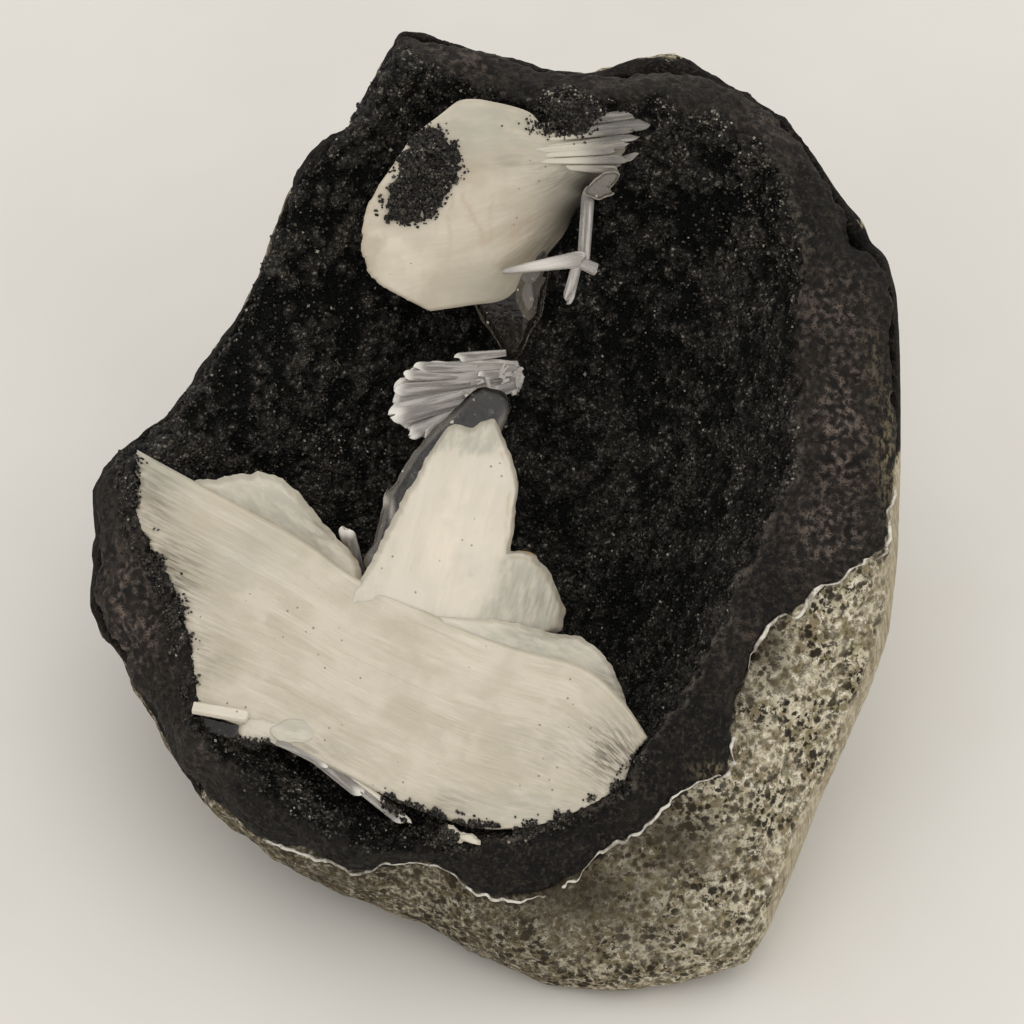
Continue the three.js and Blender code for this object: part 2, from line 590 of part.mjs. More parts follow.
function upperCluster() {
  const glassy = [
    blade([4, 50, -10], [15.8, 46.2, -6], 4.4, 1.8, 10),
    blade([4, 51, -10], [18.4, 51.2, -7], 4.2, 1.8, 30),
    blade([5, 53, -9], [20, 54.8, -6.4], 4.4, 2, -10),
    blade([6, 55, -9], [19.6, 57.6, -7], 4.2, 1.8, 15),
    blade([8, 49.4, -9], [13, 44.4, -4.8], 4, 1.6, 0),
  ];
  const prisms = [
    blade([11.2, 46.6, -7], [10.1, 35.4, -3.4], 2, 1.5, 30),
    blade([10.4, 36, -3.8], [-1.6, 34.2, -2.6], 2.9, 2, 0),
    blade([9.4, 36.6, -4], [7.7, 30.2, -3], 2.2, 1.6, 40),
    blade([9.6, 36, -4], [12.2, 35, -3], 1.8, 1.4, 0),
  ];
  return join([
    upperSheaf(),
    ...glassy,
    ...prisms,
    plate(LOWER_PLATE, [-27, 0.1, 0.52], 2.6, 0.6),
    plate(SIDE_PLATE, [-6.6, -0.12, 0.05], 2.2, 0.5),
    blade([3, 22, -26], [0.6, 32, -9], 5.5, 2.4, 0),
  ]);
}

// Crust of black druse that follows the upper sheaf's face.
const DRUSE_PATCH = [
  [-10.2, 55.4], [-9.2, 53.6], [-7.8, 53], [-7.2, 50.6], [-6.7, 48.4], [-8.2, 46.8], [-9.6, 45],
  [-10.2, 43], [-13.4, 41.9], [-16.4, 41.4], [-19, 42.6], [-18.6, 45.4], [-17, 48.8], [-15.6, 51.8],
  [-13, 54.4],
];

const CRUST_RISE = 1.5; // height of the crust's top over the sheaf's face

// The patch as a slab that reaches from inside the sheaf to the crust's top.
function patchSlab() {
  const slab = plate(DRUSE_PATCH, [0, 0, 0], 4, 0.5);
  return slab.warp((point) => {
    point[2] += upperFace(point[0], point[1]) + CRUST_RISE;
  });
}

// The crust sits just clear of the crystal: the crystal, raised by the gap, is cut away.
function druseCrust(crystals) {
  return trimmed(patchSlab().subtract(crystals.translate([0, 0, GAP])).subtract(crystals));
}

const rock = rockBlock();
const upperCrystals = trimmed(upperCluster());

const materials = {
  basalt: new THREE.MeshStandardMaterial({ color: 0x8a8577, roughness: 0.95, metalness: 0 }),
  druse: new THREE.MeshStandardMaterial({ color: 0x1c1a18, roughness: 0.8, metalness: 0 }),
  stilbite: new THREE.MeshStandardMaterial({ color: 0xe4ddcf, roughness: 0.45, metalness: 0 }),
  glassy: new THREE.MeshStandardMaterial({ color: 0xb4b0ac, roughness: 0.25, metalness: 0 }),
};

const named = (name, manifold, material) => {
  const mesh = new THREE.Mesh(geometryOf(manifold), material);
  mesh.name = name;
  return mesh;
};

const specimen = new THREE.Group();
specimen.add(
  named("basalt_matrix", trimmedMatrix(), materials.basalt),
  named("drusy_lining", drusyLining(), materials.druse),
  named("lower_stilbite", trimmed(lowerCluster()), materials.stilbite),
  named("middle_stilbite_fan", trimmed(middleFan()), materials.glassy),
  named("upper_stilbite", upperCrystals, materials.stilbite),
  named("druse_crust", druseCrust(upperCrystals), materials.druse),
);
specimen.rotation.x = LEAN;
const standing = new THREE.Box3().setFromObject(specimen, true);
const middle = standing.getCenter(new THREE.Vector3());
specimen.position.set(-middle.x, -middle.y, -standing.min.z);

export default specimen;
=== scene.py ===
"""Looks for a stilbite specimen: half of a basalt vug, lined with black druse, with cream sheaves.

Shapes are worked out in millimetres in the frame of the open face: u to the right across the
face, v up the face and w straight out of the hollow. to_row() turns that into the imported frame.
"""
import math

import bpy
import numpy as np
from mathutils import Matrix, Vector
from mathutils.bvhtree import BVHTree


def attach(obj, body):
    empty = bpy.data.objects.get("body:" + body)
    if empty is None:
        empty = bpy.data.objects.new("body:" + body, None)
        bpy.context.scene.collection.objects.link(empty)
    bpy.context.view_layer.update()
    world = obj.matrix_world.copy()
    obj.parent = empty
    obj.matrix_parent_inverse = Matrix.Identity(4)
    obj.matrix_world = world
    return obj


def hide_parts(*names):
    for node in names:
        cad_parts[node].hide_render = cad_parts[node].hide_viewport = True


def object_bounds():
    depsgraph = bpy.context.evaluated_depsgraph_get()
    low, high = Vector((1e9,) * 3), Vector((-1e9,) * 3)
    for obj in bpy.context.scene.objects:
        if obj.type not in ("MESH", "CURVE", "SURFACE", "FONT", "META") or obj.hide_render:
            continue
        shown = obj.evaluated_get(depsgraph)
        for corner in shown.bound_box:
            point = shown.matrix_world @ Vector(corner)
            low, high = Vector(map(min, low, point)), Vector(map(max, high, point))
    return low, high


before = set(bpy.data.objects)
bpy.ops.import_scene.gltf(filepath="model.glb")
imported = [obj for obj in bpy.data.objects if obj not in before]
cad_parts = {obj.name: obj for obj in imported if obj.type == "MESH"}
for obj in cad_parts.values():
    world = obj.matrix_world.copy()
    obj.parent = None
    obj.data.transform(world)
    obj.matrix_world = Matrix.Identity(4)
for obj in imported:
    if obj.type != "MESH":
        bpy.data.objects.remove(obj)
cad_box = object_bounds()
made = []  # the finished pieces

# Driving dimensions
MM = 0.001
LEAN = math.radians(40)  # the open face leans back this far from lying level
FACE_ORIGIN = np.array([2.59, -8.58, 51.5])  # the face frame's origin in the row frame
FACE_AXES = np.array(
    [
        [1.0, 0.0, 0.0],
        [0.0, math.cos(LEAN), math.sin(LEAN)],
        [0.0, -math.sin(LEAN), math.cos(LEAN)],
    ]
)
CAMERA_DISTANCE = 1100.0
PICTURE_HEIGHT = 1024 / 7  # the photograph shows 7 pixels to the millimetre
SENSOR = 36.0

FACE_MIDDLE, FACE_SLOPE_U, FACE_SLOPE_V = 4.0, 0.12, -0.12  # height of the broken face

# Fineness of the meshes
ROCK_VOXEL, CRUST_VOXEL = 0.8, 0.52
SHEAF_GRID, FAN_GRID = (84, 176), (40, 100)
WALL_LEVELS = 12
SLAB_TURNS, SMALL_SLAB_TURNS = 200, 110
THICK_SLAB = 2.3  # slabs thicker than this get the finer outline
SAG_START = -2.0  # u from which the upright blade's lobe falls away
LEAF_TURNS = 32
WALL_GRAINS, PATCH_TRIES, NUB_GRAINS = 17500, 20000, 2600
GRAIN_SIZES = 0.25, 0.6


def face(u, v):
    """Height of the broken face."""
    return FACE_MIDDLE + FACE_SLOPE_U * u + FACE_SLOPE_V * v


def to_row(points):
    """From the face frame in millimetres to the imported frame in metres."""
    return (np.asarray(points) @ FACE_AXES + FACE_ORIGIN) * MM


def to_face(points):
    """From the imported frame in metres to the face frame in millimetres."""
    return (np.asarray(points) / MM - FACE_ORIGIN) @ FACE_AXES.T


# Noise, all seeded

def lattice_noise(points, size, seed):
    """Smooth noise from -1 to 1, with features of about the given size."""
    side = 32
    table = np.random.default_rng(seed).uniform(-1, 1, (side, side, side))
    place = np.asarray(points) / size + 1000.0
    cell = np.floor(place).astype(int)
    into = place - cell
    into = into * into * (3 - 2 * into)
    total = np.zeros(len(place))
    for corner in range(8):
        step = np.array([corner & 1, corner >> 1 & 1, corner >> 2 & 1])
        index = (cell + step) % side
        weight = np.prod(np.where(step, into, 1 - into), axis=1)
        total += weight * table[index[:, 0], index[:, 1], index[:, 2]]
    return total


def layered_noise(points, size, seed, layers=3):
    """Noise with finer and weaker layers on top of it."""
    total = np.zeros(len(points))
    for layer in range(layers):
        total += 0.5**layer * lattice_noise(points, size * 0.5**layer, seed + layer)
    return total


def cell_distance(points, size, seed):
    """Distance to the nearest of randomly strewn points, in units of their spacing."""
    side = 16
    table = np.random.default_rng(seed).uniform(0, 1, (side, side, side, 3))
    place = np.asarray(points) / size + 1000.0
    cell = np.floor(place).astype(int)
    nearest = np.full(len(place), 9.0)
    for shift in np.ndindex(3, 3, 3):
        around = cell + np.array(shift) - 1
        index = around % side
        seedling = around + table[index[:, 0], index[:, 1], index[:, 2]]
        nearest = np.minimum(nearest, np.sum((place - seedling) ** 2, axis=1))
    return np.sqrt(nearest)


def ramp(value, low, high):
    """Eases from 0 at low to 1 at high."""
    share = np.clip((value - low) / (high - low), 0, 1)
    return share * share * (3 - 2 * share)


# Outlines in the plane of the face, clockwise or along the fibres

LIP = [
    (-14.5, 66), (-9, 63), (-5, 60.8), (1, 59.3), (5, 58), (8, 60.3), (13, 59.8), (19, 59.6), (25, 58.3),
    (30, 55.8), (34.5, 53.6), (37.5, 49.5), (40.5, 44.5), (42.5, 39), (41.5, 33), (40.5, 25), (41, 18),
    (40, 12), (40.3, 6), (37.5, 1), (34.5, -6), (31, -12.5), (28.5, -19), (25.5, -25), (22, -29),
    (19.5, -33), (17, -36.5), (15.5, -39.5), (9, -42.6), (3, -44.6), (-3, -46.5), (-10, -48.4), (-18, -48.6),
    (-25, -46.8), (-32, -43), (-38, -38.5), (-43.5, -33.5), (-46, -29.5), (-45.3, -26), (-46.5, -22),
    (-46.8, -17.5), (-48.3, -13.5), (-50, -9), (-52, -6), (-53.3, -3), (-54.8, 0.5), (-55, 4), (-55.5, 9),
    (-53, 13), (-50, 18), (-46, 24), (-42, 30), (-39, 36), (-36, 42), (-33, 50), (-29, 56), (-25, 60),
    (-20, 68),
]
GREAT_SHEAF = {
    "right": [(-46, -28), (-36, -31.5), (-27, -35.8), (-16, -41.2), (-5, -44.8), (3.5, -44.6)],
    "left": [
        (-54.3, 9.2), (-41, 2), (-30, -4), (-21.5, -9.8), (-9, -15.6), (0, -19.2), (10, -21.9), (15.5, -26.5),
        (19.3, -32),
    ],
    "near": [
        (-46, -28), (-46.3, -22.5), (-46.8, -17.5), (-48.6, -12), (-51.4, -6.6), (-54, -1), (-54.6, 4),
        (-54.3, 9.2),
    ],
    "far": [(3.5, -44.6), (9, -42.6), (13, -40.6), (16, -38.2), (17, -35.4), (19.3, -32)],
}
UPPER_SHEAF = {
    "right": [(15, 57.6), (9, 55.3), (5, 55), (2.4, 57.4), (-2.6, 58.8), (-7, 59.2), (-10.2, 57)],
    "left": [(13, 46.6), (9.4, 43.6), (7.2, 39.6), (2.6, 34.4), (-1, 30.7), (-6, 29.7), (-11.9, 28.8)],
    "near": [(15, 57.6), (19.4, 55.6), (17, 52), (15.6, 49), (13, 46.6)],
    "far": [
        (-10.2, 57), (-14.4, 53.6), (-17.6, 49), (-20.6, 44.4), (-21.7, 39.8), (-21.4, 36), (-19.6, 33),
        (-15.4, 30.5), (-11.9, 28.8),
    ],
}
BACK_BLADE = [
    (-47, 3.5), (-42, 4.8), (-41, 5.5), (-35.2, 5.9), (-32.4, 4.6), (-31, 3.5), (-26, -2.3), (-23.5, -5),
    (-21.6, -7.6), (-22.3, -12), (-34, -16), (-46, -8),
]
UPRIGHT_BLADE = [
    (-24, -14), (-21.9, -9.6), (-20, -6), (-17, -0.5), (-14, 5), (-11.5, 9.4), (-10, 11.6), (-8, 12.8),
    (-6, 12.5), (-3, 13.5), (-2, 13.1), (-1, 10.7), (0.1, 8), (1, 4.6), (0.7, 1), (0.4, -2), (0.2, -5.2),
    (1.6, -5.3), (3.6, -6), (5, -7.8), (6.3, -10), (7.3, -12.2), (7.9, -14.8), (7.3, -16.9), (4, -19),
    (-4, -22), (-16, -22),
]
THIN_PLATE = [
    (-21.2, -8), (-20, -4.5), (-18.9, -0.5), (-18.6, 1), (-18.5, 2.8), (-17.6, 3.4), (-16.6, 4.8),
    (-14.2, 8.7), (-11.8, 11.5), (-8.8, 14.4), (-5.4, 17.6), (-3.2, 17.9), (-1, 17.3), (0, 15.6),
    (-0.6, 13.6), (-3, 8), (-8, -4), (-14, -12),
]
RIGHT_PLATE = [
    (-11, -15.6), (-8, -15), (-2.5, -15.1), (0, -15.4), (4, -16.5), (9.8, -17.7), (12, -19), (14.5, -22),
    (15.7, -24.6), (16.4, -26.6), (16, -30), (8, -30), (-6, -24),
]
LOWER_PLATE = [
    (-6.6, 36), (-5.6, 29.9), (-2.6, 25.2), (-0.8, 22.4), (0.8, 22.2), (3, 26), (4.8, 30), (4.4, 38),
]
SIDE_PLATE = [(0.4, 37), (0.3, 32), (0.7, 29.6), (2.2, 27.6), (3.4, 28.6), (3.8, 31), (4.8, 33.4), (5.2, 37)]
END_PLATE = [
    (10.1, 45.9), (11.2, 45), (12.5, 44.6), (14, 45.2), (14.9, 45.6), (14.4, 46.4), (15.6, 48.6), (13.6, 49),
    (11.6, 47.6),
]
DRUSE_PATCH = [
    (-10.5, 55.3), (-9.5, 53.5), (-8, 53), (-7.5, 51), (-6.7, 49), (-7.5, 47.8), (-8.5, 46.5), (-9.5, 45.5),
    (-10, 43.5), (-11, 42.5), (-14, 41.3), (-17, 41), (-19, 42.5), (-18.8, 44.5), (-17.5, 46.5), (-17, 48.5),
    (-16.5, 51.5), (-14.5, 54), (-12, 55.5),
]
WHITE_CHIP = [
    (-10.8, -45.6), (-9.9, -44.3), (-8.8, -43.9), (-7.8, -44.7), (-6.6, -45.1), (-5.4, -45.6), (-4.4, -46.3),
    (-3.6, -47.5), (-5.2, -47.3), (-6.6, -47), (-8.6, -47.4), (-10.2, -46.8),
]
STEP_PLATE = [
    (-39.2, -30.4), (-37.6, -29), (-33, -29.4), (-31.4, -31.6), (-31.6, -33.9), (-34.6, -33.2), (-37, -33.8),
    (-38.8, -33),
]
RIND = [
    (36.5, -15.6), (34.5, -18.5), (33, -23.5), (31.6, -28), (31, -33.5), (31.4, -35.5), (29.8, -37.3),
    (27, -37.5), (24, -39.5), (21, -42.4), (18, -45.2), (13, -47.6), (10.5, -50.2), (8, -52.5), (4, -54.2),
    (0, -54.9), (-3, -54.6), (-6, -53), (-10, -50.2), (-13, -49.8), (-18, -49.7), (-21, -51.1),
    (-23.5, -50.9), (-26, -49.6), (-30, -48.3), (-35.2, -46.7),
]


def curve_point(points, share):
    """Points on a smooth curve through points, spread evenly over its spans."""
    points = np.asarray(points, float)
    last = len(points) - 1
    place = np.clip(np.asarray(share, float), 0, 1) * last
    span = np.minimum(np.floor(place).astype(int), last - 1)
    t = (place - span)[..., None]
    before, start = points[np.maximum(span - 1, 0)], points[span]
    end, after = points[span + 1], points[np.minimum(span + 2, last)]
    rise, fall = (end - before) / 2, (after - start) / 2
    return (
        (2 * start - 2 * end + rise + fall) * t**3
        + (-3 * start + 3 * end - 2 * rise - fall) * t**2
        + rise * t
        + start
    )


def closed_curve(points, count):
    """A smooth closed outline of evenly spaced points."""
    points = np.asarray(points, float)
    wrapped = np.vstack([points[-2:], points, points[:3]])
    fine = curve_point(wrapped, np.linspace(0, 1, 40 * len(wrapped)))
    spans = len(wrapped) - 1
    share = np.linspace(0, 1, len(fine)) * spans
    fine = fine[(share >= 2) & (share <= 2 + len(points))]
    run = np.r_[0, np.cumsum(np.linalg.norm(np.diff(fine, axis=0), axis=1))]
    even = np.linspace(0, run[-1], count, endpoint=False)
    return np.stack([np.interp(even, run, fine[:, axis]) for axis in range(2)], axis=1)


def inside_by(outline, points):
    """Distance inside an outline, negative outside it."""
    outline = np.asarray(outline, float)
    points = np.asarray(points, float)[:, :2]
    nearest = np.full(len(points), 1e9)
    crossings = np.zeros(len(points), int)
    for start, end in zip(outline, np.roll(outline, -1, axis=0)):
        edge = end - start
        along = np.clip(((points - start) @ edge) / (edge @ edge), 0, 1)
        gap = points - start - along[:, None] * edge
        nearest = np.minimum(nearest, np.sum(gap * gap, axis=1))
        straddles = (start[1] > points[:, 1]) != (end[1] > points[:, 1])
        if straddles.any():
            level = start[0] + (points[:, 1] - start[1]) / (end[1] - start[1] + 1e-12) * edge[0]
            crossings += straddles & (points[:, 0] < level)
    return np.sqrt(nearest) * np.where(crossings % 2, 1, -1)


# Meshes

def mesh_object(name, points, faces, smooth=True):
    """A mesh object from points in the face frame, kept in the CAD model's box, and faces."""
    mesh = bpy.data.meshes.new(name)
    inside = np.clip(to_row(points), cad_box[0], cad_box[1])
    mesh.from_pydata(inside.tolist(), [], faces if isinstance(faces, list) else faces.tolist())
    mesh.polygons.foreach_set("use_smooth", [smooth] * len(mesh.polygons))
    mesh.update()
    piece = bpy.data.objects.new(name, mesh)
    bpy.context.scene.collection.objects.link(piece)
    return piece


def points_of(piece):
    """A piece's vertices in the face frame."""
    points = np.empty(len(piece.data.vertices) * 3)
    piece.data.vertices.foreach_get("co", points)
    return to_face(points.reshape(-1, 3))


def normals_of(piece):
    normals = np.empty(len(piece.data.vertices) * 3)
    piece.data.vertex_normals.foreach_get("vector", normals)
    return normals.reshape(-1, 3) @ FACE_AXES.T


def paint(piece, name, values):
    """Stores a number at each vertex, for the piece's material."""
    layer = piece.data.attributes.new(name, "FLOAT", "POINT")
    layer.data.foreach_set("value", np.asarray(values, dtype=np.float32))


def paint_vector(piece, name, values):
    layer = piece.data.attributes.new(name, "FLOAT_VECTOR", "POINT")
    layer.data.foreach_set("vector", np.asarray(values, dtype=np.float32).ravel())


def grid_faces(rows, columns, offset=0, wrap=False, flip=False):
    """Quads of a grid of points stored row by row."""
    across = columns if wrap else columns - 1
    i, j = np.meshgrid(np.arange(rows - 1), np.arange(across), indexing="ij")
    a = offset + i * columns + j
    b = offset + i * columns + (j + 1) % columns
    quads = np.stack([a, a + columns, b + columns, b], axis=-1).reshape(-1, 4)
    return quads[:, ::-1] if flip else quads


def finish_piece(piece, slot, material, *replaced):
    """Gives a piece its body and its material, and hides the CAD parts it replaces."""
    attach(piece, "root")
    if replaced:
        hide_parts(*replaced)
    piece.data.materials.clear()
    piece.data.materials.append(material)
    made.append(piece)


def spots(points, places):
    """How much each point lies in one of the round places: middle, radii along u and v, and strength."""
    total = np.zeros(len(points))
    for u, v, radius_u, radius_v, strength in places:
        near = ((points[:, 0] - u) / radius_u) ** 2 + ((points[:, 1] - v) / radius_v) ** 2
        total = np.maximum(total, strength * np.exp(-near))
    return total


def refined_rock(node, name, voxel, softening, displace, keep):
    """A finer copy of a CAD node: remeshed, softened, roughened and without its hidden faces."""
    coarse = bpy.data.objects.new(name + "_coarse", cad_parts[node].data.copy())
    bpy.context.scene.collection.objects.link(coarse)
    weld = coarse.modifiers.new("weld", "WELD")
    weld.merge_threshold = 1e-5
    remesh = coarse.modifiers.new("remesh", "REMESH")
    remesh.mode = "VOXEL"
    remesh.voxel_size = voxel * MM
    soften = coarse.modifiers.new("soften", "SMOOTH")
    soften.factor, soften.iterations = 0.5, softening
    bpy.context.view_layer.update()
    fine = coarse.evaluated_get(bpy.context.evaluated_depsgraph_get())
    mesh = bpy.data.meshes.new_from_object(fine)
    bpy.data.objects.remove(coarse)
    count = len(mesh.vertices)
    points, normals = np.empty(count * 3), np.empty(count * 3)
    mesh.vertices.foreach_get("co", points)
    mesh.vertex_normals.foreach_get("vector", normals)
    points = to_face(points.reshape(-1, 3))
    normals = normals.reshape(-1, 3) @ FACE_AXES.T
    quads = np.array([list(polygon.vertices) for polygon in mesh.polygons if len(polygon.vertices) == 4])
    bpy.data.meshes.remove(mesh)
    quads = quads[keep(points[quads].mean(axis=1), normals[quads].mean(axis=1))]
    raised = displace(points, normals)
    used, quads = np.unique(quads, return_inverse=True)
    piece = mesh_object(name, (points + normals * raised[:, None])[used], quads.reshape(-1, 4))
    # The height is kept for the druse's painted light on the clumps' tops and painted shade between them
    paint(piece, "raised", raised[used])
    return piece


# Rock

HOLLOW_CENTRE = np.array([2.0, 6.0])


def rind_edge():
    """Outer edge of the drusy lining, as the farthest of its vertices by bearing."""
    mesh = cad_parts["drusy_lining"].data
    points = to_face(np.array([vertex.co for vertex in mesh.vertices]))
    away = points[:, :2] - HOLLOW_CENTRE
    bearing = np.degrees(np.arctan2(away[:, 1], away[:, 0])) % 360
    reach = np.linalg.norm(away, axis=1)
    edge = set()
    for start in np.arange(0, 360, 4.1):
        close = np.flatnonzero(np.abs((bearing - start + 180) % 360 - 180) < 2.2)
        edge.add(close[np.argmax(reach[close])])
    return points[sorted(edge, key=lambda k: bearing[k])]


RIND_EDGE = rind_edge()
STAINS = [
    (9, -54, 15, 8, 1.0), (22, -47, 9, 8, 1.0), (36, -19, 4, 6, 0.9), (33, -26, 3, 6, 0.6),
    (-24, -52, 14, 4, 0.5), (16, -60, 14, 5, 0.5),
]
# The notch is cut into the rock, and its darkness is painted shade
SHADED_NOTCH = [(50.4, 39.0, 3.0, 1.7, 1.0)]  # dark notch in the rim at the upper right
BARE = [(22, 67.5, 6, 2.0, 0.6), (51, 41.6, 1.6, 0.9, 0.5)]  # where the rim shows crumbs of basalt


def basalt():
    """The basalt outside, pitted but for the worn right side, with rind on its rim and painted shade towards
    its lower left.
    """
    def displace(points, normals):
        rough = 0.7 * layered_noise(points, 10, 11) + 0.25 * layered_noise(points, 2.6, 15)
        grain = 0.2 * (0.5 - cell_distance(points, 1.2, 19))
        height = to_row(points)[:, 2] / MM
        worn = ramp(normals[:, 0], 0.6, 0.85) * ramp(points[:, 0], 20, 30)
        return (rough + grain + 0.15) * ramp(height, 0.05, 3) * (1 - 0.85 * worn) - 1.4 * spots(points, SHADED_NOTCH)

    def keep(centres, facing):
        return ~((inside_by(RIND_EDGE[:, :2], centres) > 1.6) & (facing[:, 2] > 0.05))

    piece = refined_rock("basalt_matrix", "basalt", ROCK_VOXEL, softening=9, displace=displace, keep=keep)
    points, normals = points_of(piece), normals_of(piece)
    paint(piece, "stain", spots(points, STAINS) * (points[:, 2] > -34))
    paint(piece, "worn", ramp(normals[:, 0], 0.72, 0.92) * ramp(points[:, 0], 22, 32))
    # Painted shade: the basalt darkens towards its left and bottom
    paint(piece, "shade", 1 - ramp(points[:, 0] + 0.3 * points[:, 1], -28, 12))
    bearing = np.degrees(np.arctan2(points[:, 1] - HOLLOW_CENTRE[1], points[:, 0] - HOLLOW_CENTRE[0])) % 360
    bearing = bearing + 3 * lattice_noise(points, 5, 16)
    wraps = ramp(bearing, 2, 6) * (1 - ramp(bearing, 222, 228))
    below_rim = face(points[:, 0], points[:, 1]) - 17 + 3 * layered_noise(points, 7, 17) - points[:, 2]
    covered = wraps * (1 - ramp(below_rim, -1, 1)) * (1 - spots(points, BARE))
    paint(piece, "rind", np.maximum(covered, spots(points, SHADED_NOTCH)))
    # Painted shade in the notch
    paint(piece, "notch_shade", spots(points, SHADED_NOTCH))
    finish_piece(piece, "basalt", basalt_material(), "basalt_matrix")
    return piece


# Where the rind is ochre, and where it is mauve and lumpy
OCHRE = [(53.4, 9, 1.8, 9, 0.9), (51.5, 22, 1.4, 5, 0.5), (28.2, -36.6, 2.6, 1.1, 1.0)]
MAUVE = [
    (47, 12, 5, 14, 1.0), (45, -2, 6, 8, 0.9), (-55, -15, 6, 14, 0.9), (-44, -34, 5, 6, 0.5),
    (46, 28, 6, 7, 0.8), (38, 55, 12, 6, 0.5), (20, 63, 12, 3, 0.6), (-8, 66, 12, 4, 0.6),
    (34, -20, 6, 8, 0.35),
]


def druse_share(points):
    """1 on the druse of the hollow, 0 on the broken rind round it."""
    wobble = 1.6 * lattice_noise(points, 3.0, 31) + 0.9 * lattice_noise(points, 1.1, 32)
    return ramp(inside_by(LIP, points) + wobble, -0.8, 0.8)


def lining():
    """The crust: knobs and grains of druse in the hollow, and the broken rind round it."""
    def displace(points, normals):
        druse = druse_share(points)
        lumpy = 0.7 + spots(points, [(-32, 44, 12, 22, 1.2), (32, 48, 14, 16, 1.5), (-40, 12, 10, 10, 0.8)])
        knobs = lumpy * (1.2 * (0.5 - cell_distance(points, 2.4, 21)) + 0.5 * layered_noise(points, 5, 22))
        grains = 0.75 * (0.5 - cell_distance(points, 1.0, 25)) + 0.25 * lattice_noise(points, 0.5, 26)
        rough = 0.8 + spots(points, MAUVE)
        chips = layered_noise(points, 6, 27, 4) - 0.8 * np.abs(layered_noise(points, 3.2, 28))
        broken = 0.4 + 0.65 * rough * chips + 0.35 * (0.5 - cell_distance(points, 1.3, 29))
        return druse * (knobs + grains) + (1 - druse) * broken - 1.6 * spots(points, SHADED_NOTCH)

    def keep(centres, facing):
        return facing[:, 2] > -0.12

    piece = refined_rock(
        "drusy_lining", "drusy_lining_fine", CRUST_VOXEL, softening=10, displace=displace, keep=keep
    )
    points = points_of(piece)
    paint(piece, "druse", druse_share(points))
    paint(piece, "ochre", spots(points, OCHRE))
    paint(piece, "mauve", spots(points, MAUVE))
    paint(piece, "notch_shade", spots(points, SHADED_NOTCH))
    share = druse_share(points)
    # Painted highlight: a paler line along the crest of the hollow's lip at the lower right
    paint(piece, "lip_highlight", 4 * share * (1 - share) * ramp(points[:, 0] - 0.5 * points[:, 1], 8, 22))
    finish_piece(piece, "druse", lining_material(), "drusy_lining")
    return piece


def contact_film(tree):
    """Thin pale film between rind and basalt at the lower right, laid on the rock."""
    path_end = [
        (54, 3), (53.2, -2), (53, -5.7), (50, -6.6), (46.5, -9.5), (42.6, -11), (40.5, -14.3), (38.2, -14.3),
    ]
    count, sides = 1400, 6
    path = curve_point(path_end + RIND, np.linspace(0, 1, count))
    flat = np.c_[path, np.zeros(count)]
    path = path + 0.45 * np.stack([lattice_noise(flat, 1.2, 41), lattice_noise(flat, 1.2, 42)], axis=1)
    outward = path - HOLLOW_CENTRE
    outward /= np.linalg.norm(outward, axis=1, keepdims=True)
    path = path + 0.35 * outward
    heights = np.array([landed_height(tree, place - 0.5 * out) for place, out in zip(path, outward)])
    heights = np.convolve(np.pad(heights, 6, "edge"), np.full(13, 1 / 13), "valid") - 0.05
    width = 0.2 + 0.13 * lattice_noise(flat, 3.5, 44) + 0.07 * lattice_noise(flat, 0.8, 45)
    width = np.clip(width + 0.2 * spots(path, [(31.5, -33, 2, 4, 1.0), (42, -12, 6, 3, 0.5)]), 0.05, 0.55)
    rings = []
    for side in range(sides):
        turn = 2 * math.pi * side / sides
        place = path + math.cos(turn) * outward * width[:, None]
        rings.append(np.c_[place, heights + math.sin(turn) * np.minimum(width, 0.22)])
    points = np.stack(rings, axis=1).reshape(-1, 3)
    piece = mesh_object("contact_film", points, grid_faces(count, sides, wrap=True))
    finish_piece(piece, "basalt", film_material())


# Crystals

def coons(edges, s, q):
    """Points of the patch between four edge curves, s along the fibres and q across them."""
    r, l = curve_point(edges["right"], s), curve_point(edges["left"], s)
    n, f = curve_point(edges["near"], q), curve_point(edges["far"], q)
    r0, r1 = np.array(edges["right"][0]), np.array(edges["right"][-1])
    l0, l1 = np.array(edges["left"][0]), np.array(edges["left"][-1])
    s, q = s[..., None], q[..., None]
    sides = (1 - q) * r + q * l + (1 - s) * n + s * f
    corners = (1 - s) * ((1 - q) * r0 + q * l0) + s * ((1 - q) * r1 + q * l1)
    return sides - corners


def fibre_relief(s, q, length, width, seed, amount):
    """Ridges that run along the fibres, from broad folds to fine striae."""
    def ridged(across, along, shift):
        place = np.stack([q.ravel() * width / across, s.ravel() * length / along, np.zeros(q.size)], axis=1)
        return lattice_noise(place, 1, seed + shift)

    relief = 0.6 * ridged(8, 45, 0) + 0.14 * ridged(2.6, 40, 1) + 0.05 * ridged(1.0, 24, 2)
    relief += 0.04 * ridged(0.45, 16, 3)
    folds = 2.4 * ridged(6, 60, 4)
    ledges = np.floor(folds) + ramp(folds - np.floor(folds), 0.9, 1.0)
    return amount * (relief + 0.3 * ledges).reshape(q.shape)


def ragged_ends(q, width, seed, amount):
    """How far each fibre stops short of the sheaf's end, as bundles of uneven length."""
    across = np.stack([q * width, np.zeros(q.size), np.zeros(q.size)], axis=1)
    bundles = np.floor(q * width / 1.1 + 2 * lattice_noise(across, 3, seed))
    step = np.random.default_rng(seed).uniform(0, 1, 200)[bundles.astype(int) % 200]
    return amount * (0.6 * step + 0.5 * np.abs(lattice_noise(across, 0.9, seed + 1)))


